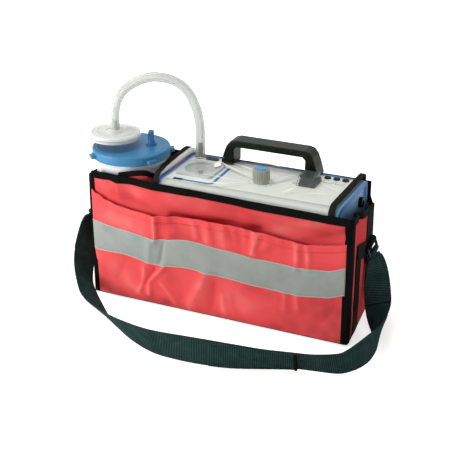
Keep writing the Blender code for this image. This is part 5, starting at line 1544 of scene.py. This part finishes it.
def divider():
    """The inner wall between the jar and the pump, which curls round to the front beside the jar."""
    line = smooth_curve([(x, y, top) for (x, y), top in DIVIDER_ROUTE], DIVIDER_COLUMNS)
    rows = []
    for j in range(DIVIDER_ROWS + 1):
        row = []
        for x, y, top in line:
            z = DIVIDER_FOOT + (top - DIVIDER_FOOT) * j / DIVIDER_ROWS
            row.append(Vector((x + rumple(0, y, z, *DIVIDER_RUMPLE), y, z)))
        rows.append(row)
    wall = thicken(piece("bag_divider_cloth", grid_mesh(rows), "red_nylon"), FABRIC, 0.0)
    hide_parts("bag_divider")
    tops = rows[-1]
    outs = [Vector((ahead.y, -ahead.x, 0)) for ahead in directions(tops)]
    binding("binding_divider", tops, outs, [UP] * len(tops), DIVIDER_TAPE, "binding")


# Clear cover


def cover_left(y):
    """Left edge of the cover, from front to back."""
    return level_at(COVER_LEFT, y)


def cover_profile():
    """The cover seen from its end, from its front hem over to its back hem, as (y, z)."""
    points = [(COVER_FRONT_Y, COVER_FRONT_Z), (COVER_FRONT_Y, COVER_Z - COVER_FRONT_DROP)]
    start = Vector((COVER_FRONT_Y, COVER_Z - COVER_BEND_DROP))
    tip = Vector((COVER_FRONT_Y, COVER_Z)) + Vector(COVER_BEND_TIP)
    end = Vector((COVER_FRONT_Y + COVER_BEND_REACH, COVER_Z))
    points += [tuple(bent(start, tip, end, i / COVER_BEND_STEPS)) for i in range(COVER_BEND_STEPS + 1)]
    y = COVER_FRONT_Y + COVER_BEND_REACH
    while y < COVER_BACK_Y - COVER_BACK_REACH:
        y += COVER_STEP
        points.append((y, COVER_Z))
    points += [(COVER_BACK_Y + back, COVER_Z + rise) for back, rise in COVER_BACK_BEND]
    points.append((COVER_BACK_Y, COVER_BACK_Z))
    return points


def cover_lift(x, y):
    """How far the film stands above its flat top."""
    return fold_height(COVER_FOLDS, x, y) + rumple(x, y, 0, *COVER_RUMPLE)


def uprights(outlines, low, high):
    """Prisms of outlines in the plane, between two heights, in one mesh."""
    bm = bmesh.new()
    for outline in outlines:
        lower = [bm.verts.new((x, y, low)) for x, y in outline]
        upper = [bm.verts.new((x, y, high)) for x, y in outline]
        for i in range(len(outline)):
            k = (i + 1) % len(outline)
            bm.faces.new((lower[i], lower[k], upper[k], upper[i]))
        bm.faces.new(lower[::-1])
        bm.faces.new(upper)
    bmesh.ops.recalc_face_normals(bm, faces=bm.faces)
    return bm


def cut_out(obj, shapes):
    """Cuts shapes out of a piece for good, one after another."""
    tools = []
    for bm in shapes:
        bmesh.ops.scale(bm, vec=(MM, MM, MM), verts=bm.verts)
        mesh = bpy.data.meshes.new("cutter")
        bm.to_mesh(mesh)
        bm.free()
        tool = bpy.data.objects.new("cutter", mesh)
        bpy.context.scene.collection.objects.link(tool)
        modifier = obj.modifiers.new("cut", "BOOLEAN")
        modifier.object = tool
        modifier.operation = "DIFFERENCE"
        modifier.solver = "EXACT"
        tools.append(tool)
    bpy.context.view_layer.update()
    graph = bpy.context.evaluated_depsgraph_get()
    cut = bpy.data.meshes.new_from_object(obj.evaluated_get(graph))
    obj.modifiers.clear()
    obj.data = cut
    for tool in tools:
        bpy.data.objects.remove(tool, do_unlink=True)


def circle(x, y, radius, steps=32):
    """Outline of a disc."""
    turns = [2 * math.pi * i / steps for i in range(steps)]
    return [(x + radius * math.cos(turn), y + radius * math.sin(turn)) for turn in turns]


def rectangle(x0, y0, x1, y1):
    """Outline of a box from two opposite corners."""
    return [(x0, y0), (x1, y0), (x1, y1), (x0, y1)]


def box_outline(node, spare):
    """Opposite corners of a solid's box in the plane, with some spare room round it."""
    low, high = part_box(node)
    return low.x / MM - spare, low.y / MM - spare, high.x / MM + spare, high.y / MM + spare


def film_creases():
    """Painted highlights along creases in the film, each a thin white sliver that tapers to both ends."""
    bm = bmesh.new()
    for places, width in COVER_CREASES:
        line = smooth_curve(places, CREASE_STEPS)
        rings = []
        for i, (place, ahead) in enumerate(zip(line, directions(line))):
            half = width / 2 * math.sin(math.pi * (i + 0.5) / CREASE_STEPS)
            side = Vector((-ahead.y, ahead.x)).normalized() * half
            low = COVER_Z + COVER_SHEET / 2 + CREASE_GAP + cover_lift(place.x, place.y)
            corners = ((1, 0), (-1, 0), (-1, CREASE_THICKNESS), (1, CREASE_THICKNESS))
            rings.append([bm.verts.new((*(place + side * s), low + up)) for s, up in corners])
        for near, far in zip(rings, rings[1:]):
            for i in range(4):
                k = (i + 1) % 4
                bm.faces.new((near[i], near[k], far[k], far[i]))
        bm.faces.new(rings[0][::-1])
        bm.faces.new(rings[-1])
    bmesh.ops.recalc_face_normals(bm, faces=bm.faces)
    creases = piece("clear_cover_crease_highlights", bm, "crease")
    return creases


def clear_cover():
    """The clear film over the panel, with its holes, its creases with painted highlights along them, and the
    tapes on its sides.
    """
    profile = cover_profile()
    rows = []
    for y, z in profile:
        left = cover_left(y)
        row = []
        for i in range(COVER_COLUMNS + 1):
            x = left + (COVER_RIGHT - left) * i / COVER_COLUMNS
            lift = cover_lift(x, y) if z > COVER_Z - COVER_FLATNESS else 0.0
            row.append(Vector((x, y, z + lift)))
        rows.append(row)
    cover = thicken(piece("clear_cover_film", grid_mesh(rows), "clear_pvc"), COVER_SHEET, 0.0)
    x0, y0, x1, y1 = box_outline("carry_handle", COVER_EASE)
    foot = HANDLE_FOOT + 2 * COVER_EASE
    holes = [
        rectangle(x0, y0, x0 + foot, y1),
        rectangle(x1 - foot, y0, x1, y1),
        circle(*KNOB_PLACE, KNOB_RADIUS + COVER_EASE),
        circle(*PORT_PLACE, PORT_RADIUS + COVER_EASE / 2),
        rectangle(*box_outline("switch_cover", COVER_EASE / 2)),
    ]
    cut_out(cover, [uprights([hole], COVER_Z - COVER_CUT, COVER_Z + COVER_CUT) for hole in holes])
    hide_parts("clear_cover")
    pieces = [film_creases()]
    for name, edge, side in (("left", cover_left, -1), ("right", lambda y: COVER_RIGHT, 1)):
        points = [Vector((edge(y), y, z)) for y, z in profile]
        across = Vector((side, 0, 0))
        outs = [across.cross(ahead) * side for ahead in directions(points)]
        ups = [across] * len(points)
        pieces.append(binding(f"binding_cover_{name}", points, outs, ups, COVER_TAPE, "cover_binding"))


# Control panel


def stripe(points, width):
    """Outline of a line of this width."""
    line = [Vector(p) for p in points]
    left, right = [], []
    for place, ahead in zip(line, directions(line)):
        ahead.normalize()
        side = Vector((-ahead.y, ahead.x)) * width / 2
        left.append(tuple(place + side))
        right.append(tuple(place - side))
    return left + right[::-1]


def rays(centre, inner, outer, start_deg, sweep_deg, count, width):
    """Outlines of marks set round a centre, clockwise from their start."""
    marks = []
    for i in range(count):
        turn = math.radians(start_deg - sweep_deg * i / (count - 1))
        ahead = Vector((math.cos(turn), math.sin(turn)))
        marks.append(stripe((Vector(centre) + ahead * inner, Vector(centre) + ahead * outer), width))
    return marks


def arc(centre, radius, start_deg, end_deg, width, steps=16):
    """Outline of a curved line of this width."""
    points = []
    for i in range(steps + 1):
        turn = math.radians(start_deg + (end_deg - start_deg) * i / steps)
        points.append((centre[0] + radius * math.cos(turn), centre[1] + radius * math.sin(turn)))
    return stripe(points, width)


def prints(name, outlines, low, finish):
    """A thin layer of ink on the panel or the dial."""
    ink = piece(name, uprights(outlines, low, low + PRINT), finish)


def dial_numbers():
    """Plain numbers round the dial, as one mesh."""
    bm = bmesh.new()
    steps = len(DIAL_NUMBERS) - 1
    for i, number in enumerate(DIAL_NUMBERS):
        data = bpy.data.curves.new("number", "FONT")
        data.body = number
        data.size = NUMBER_SIZE
        data.align_x = "CENTER"
        data.align_y = "CENTER"
        data.extrude = PRINT / 2
        words = bpy.data.objects.new("number", data)
        mesh = bpy.data.meshes.new_from_object(words)
        turn = math.radians(DIAL_START_DEG - DIAL_SWEEP_DEG * i / steps)
        x = GAUGE_PLACE[0] + NUMBER_RADIUS * math.cos(turn)
        y = GAUGE_PLACE[1] + NUMBER_RADIUS * math.sin(turn)
        for vert in mesh.vertices:
            vert.co += Vector((x, y, DIAL_Z + PRINT / 2))
        bm.from_mesh(mesh)
        bpy.data.objects.remove(words)
        bpy.data.meshes.remove(mesh)
    numbers = piece("gauge_numbers", bm, "print_grey")


def knob_ribs():
    """Grip ribs round the knob, in a paler grey that is a painted highlight on their crests."""
    inner, outer = KNOB_RADIUS - KNOB_RIB_DEEP, KNOB_RADIUS + KNOB_RIB_PROUD
    ribs = rays(KNOB_PLACE, inner, outer, 0, 360 - 360 / KNOB_RIBS, KNOB_RIBS, KNOB_RIB_WIDTH)
    grip = piece("regulator_knob_ribs", uprights(ribs, KNOB_RIB_LOW, KNOB_RIB_HIGH), "rib_grey_highlit", "knob")


def control_panel():
    """What is printed on the panel and the dial, and the dial's dish."""
    frame_lines = [stripe(FRAME_LINE, FRAME_WIDTH), stripe(FRAME_FOOT, FRAME_FOOT_WIDTH)]
    prints("panel_frame_print", frame_lines, PANEL_TOP, "print_blue")
    prints("panel_back_print", [stripe(BACK_LINE, BACK_LINE_WIDTH)], PANEL_TOP, "print_blue")
    marks = [stripe(bracket, MARK_WIDTH) for bracket in LAMP_BRACKETS]
    marks += rays(
        KNOB_PLACE, *KNOB_MARK_REACH, KNOB_MARK_START_DEG, KNOB_MARK_SWEEP_DEG, KNOB_MARKS, MARK_WIDTH
    )
    marks.append(stripe(ON_MARK, ON_MARK_WIDTH))
    for start_deg in (0, 180):
        marks.append(arc(OFF_MARK, OFF_MARK_RADIUS, start_deg, start_deg + 180, MARK_WIDTH))
    prints("panel_marks_print", marks, PANEL_TOP, "print_grey")
    dish = turned("gauge_dish", GAUGE_DISH, GAUGE_PLACE, "dial_white")
    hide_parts("gauge_dial")
    turn = (DIAL_START_DEG, DIAL_SWEEP_DEG)
    scale = rays(GAUGE_PLACE, *DIAL_MARK_REACH, *turn, DIAL_MARKS, DIAL_MARK_WIDTH)
    scale += rays(GAUGE_PLACE, *NUMBER_MARK_REACH, *turn, len(DIAL_NUMBERS), MARK_WIDTH)
    end_deg = DIAL_START_DEG - DIAL_SWEEP_DEG
    radius = NUMBER_MARK_REACH[1]
    scale.append(arc(GAUGE_PLACE, radius, DIAL_START_DEG, end_deg, DIAL_ARC_WIDTH, DIAL_ARC_STEPS))
    prints("gauge_scale_print", scale, DIAL_Z, "print_grey")
    dial_numbers()


# Jar, lid, filter and port


def jar_pieces():
    """Rings on the lid and the jar's neck, the filter with its ribs, and the vacuum port's nipple."""
    turned("jar_lid_ring", LID_RING, JAR_PLACE, "lid_blue")
    turned("jar_lid_bead", LID_BEAD, JAR_PLACE, "lid_blue")
    turned("jar_neck_bead", JAR_BEAD, JAR_PLACE, "clear_polycarbonate")
    upper = turned("filter_upper_shell", FILTER_UPPER, FILTER_PLACE, "filter_white")
    lower = turned("filter_lower_shell", FILTER_LOWER, FILTER_PLACE, "filter_white")
    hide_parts("filter_upper")
    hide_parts("filter_lower")
    turn = 360 - 360 / FILTER_RIBS
    ribs = rays(FILTER_PLACE, *FILTER_RIB_REACH, 0, turn, FILTER_RIBS, FILTER_RIB_WIDTH)
    spokes = piece("filter_ribs", uprights(ribs, *FILTER_RIB_HEIGHTS), "filter_white")
    nipple = turned("vacuum_port_nipple", NIPPLE, PORT_PLACE, "nipple")
    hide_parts("vacuum_port")


# Hard pieces keep their solids
HARD_FINISHES = {
    "steel": ("motor_can", "motor_shaft", "battery_bracket"),
    "black_steel": ("strap_ring_left", "strap_ring_right"),
    "aluminium": ("regulator_valve", "con_rod", "crankcase", "pump_head"),
    "white_abs": ("case_body",),
    "black_abs": (
        "base_plate",
        "gauge_pointer",
        "switch_frame",
        "switch_rocker",
        "lamp_bezel_1",
        "lamp_bezel_2",
        "lamp_bezel_3",
        "dc_socket",
    ),
    "handle_black": ("carry_handle",),
    "blue_abs": ("right_end_cap",),
    "cap_blue": ("left_end_cap",),
    "panel_film": ("panel_overlay",),
    "grey_abs": ("regulator_knob", "battery_pack"),
    "gauge_grey": ("gauge_case",),
    "lens_clear": ("gauge_lens",),
    "splash_vinyl": ("switch_cover",),
    "lamp_dark": ("lamp_lens_1", "lamp_lens_2", "lamp_lens_3"),
    "clear_polycarbonate": ("jar",),
    "lid_blue": ("jar_lid",),
    "spout_blue": ("patient_port",),
    "knob_blue": ("knob_cap",),
    "filter_white": ("float_cage", "overflow_float"),
    "membrane": ("filter_membrane",),
    "rubber": ("exhaust_grommet", "diaphragm", "lid_seal"),
    "silicone": ("internal_hose",),
    "circuit_green": ("circuit_board",),
}


def hard_pieces():
    """Gives each hard solid its finish."""
    for finish, names in HARD_FINISHES.items():
        for name in names:
            dress(NODES[name].data, finish)


# Light and stage


def area_light(name, place, power, size):
    """A square lamp that faces the object."""
    data = bpy.data.lights.new(name, "AREA")
    data.energy = power
    data.size = size
    obj = bpy.data.objects.new(name, data)
    obj.location = place
    obj.rotation_euler = (Vector(LAMP_TARGET) - Vector(place)).to_track_quat("-Z", "Y").to_euler()
    bpy.context.scene.collection.objects.link(obj)


def seen_directly(tree):
    """1 for what the camera sees, also in gloss and through glass, and 0 for light on the object."""
    path = add(tree, "ShaderNodeLightPath").outputs
    glass = {0: path["Is Glossy Ray"], 1: path["Is Transmission Ray"]}
    shiny = add(tree, "ShaderNodeMath", glass, operation="MAXIMUM")
    return add(tree, "ShaderNodeMath", {0: path["Is Camera Ray"], 1: shiny}, operation="MAXIMUM")


def white_ground():
    """A matt white floor, seen as pure white wherever no shadow falls on it."""
    material = bpy.data.materials.new("floor_paper_white")
    material.use_nodes = True
    tree = material.node_tree
    tree.nodes.clear()
    matt = add(tree, "ShaderNodeBsdfDiffuse", {"Color": linear("#F4F4F2")})
    place = add(tree, "ShaderNodeTexCoord").outputs["Object"]
    reach = add(tree, "ShaderNodeVectorMath", {0: place}, operation="LENGTH").outputs["Value"]
    fade = {"Value": reach, "From Min": FLOOR_NEAR, "From Max": FLOOR_FAR, "To Min": FLOOR_GLOW}
    strength = add(tree, "ShaderNodeMapRange", fade)
    glow = add(tree, "ShaderNodeEmission", {"Color": (1, 1, 1, 1), "Strength": strength})
    lit = add(tree, "ShaderNodeAddShader", {0: matt, 1: glow})
    mix = add(tree, "ShaderNodeMixShader", {0: seen_directly(tree), 1: matt, 2: lit})
    add(tree, "ShaderNodeOutputMaterial", {"Surface": mix})
    bm = bmesh.new()
    half = FLOOR_SIZE / 2
    corners = ((-half, -half), (half, -half), (half, half), (-half, half))
    bm.faces.new([bm.verts.new((x, y, FLOOR_Z)) for x, y in corners])
    mesh = bpy.data.meshes.new("floor")
    bm.to_mesh(mesh)
    bm.free()
    mesh.materials.append(material)
    floor = bpy.data.objects.new("floor", mesh)
    bpy.context.scene.collection.objects.link(floor)


def studio():
    """The lamps, a soft white room that is seen as pure white, and the floor."""
    world = bpy.data.worlds.new("studio")
    bpy.context.scene.world = world
    world.use_nodes = True
    tree = world.node_tree
    tree.nodes.clear()
    soft = add(tree, "ShaderNodeBackground", {"Color": (1, 1, 1, 1), "Strength": WORLD_LIGHT})
    white = add(tree, "ShaderNodeBackground", {"Color": (1, 1, 1, 1), "Strength": 1.0})
    mix = add(tree, "ShaderNodeMixShader", {0: seen_directly(tree), 1: soft, 2: white})
    add(tree, "ShaderNodeOutputWorld", {"Surface": mix})
    for lamp in LAMPS:
        area_light(*lamp)
    white_ground()
    bpy.context.scene.view_settings.view_transform = "Standard"


camera()
shoulder_strap()
suction_tube()
bag_shell()
back_edge_tape()
bag_base()
end_webbing()
front_pocket()
divider()
clear_cover()
control_panel()
knob_ribs()
jar_pieces()
hard_pieces()
studio()
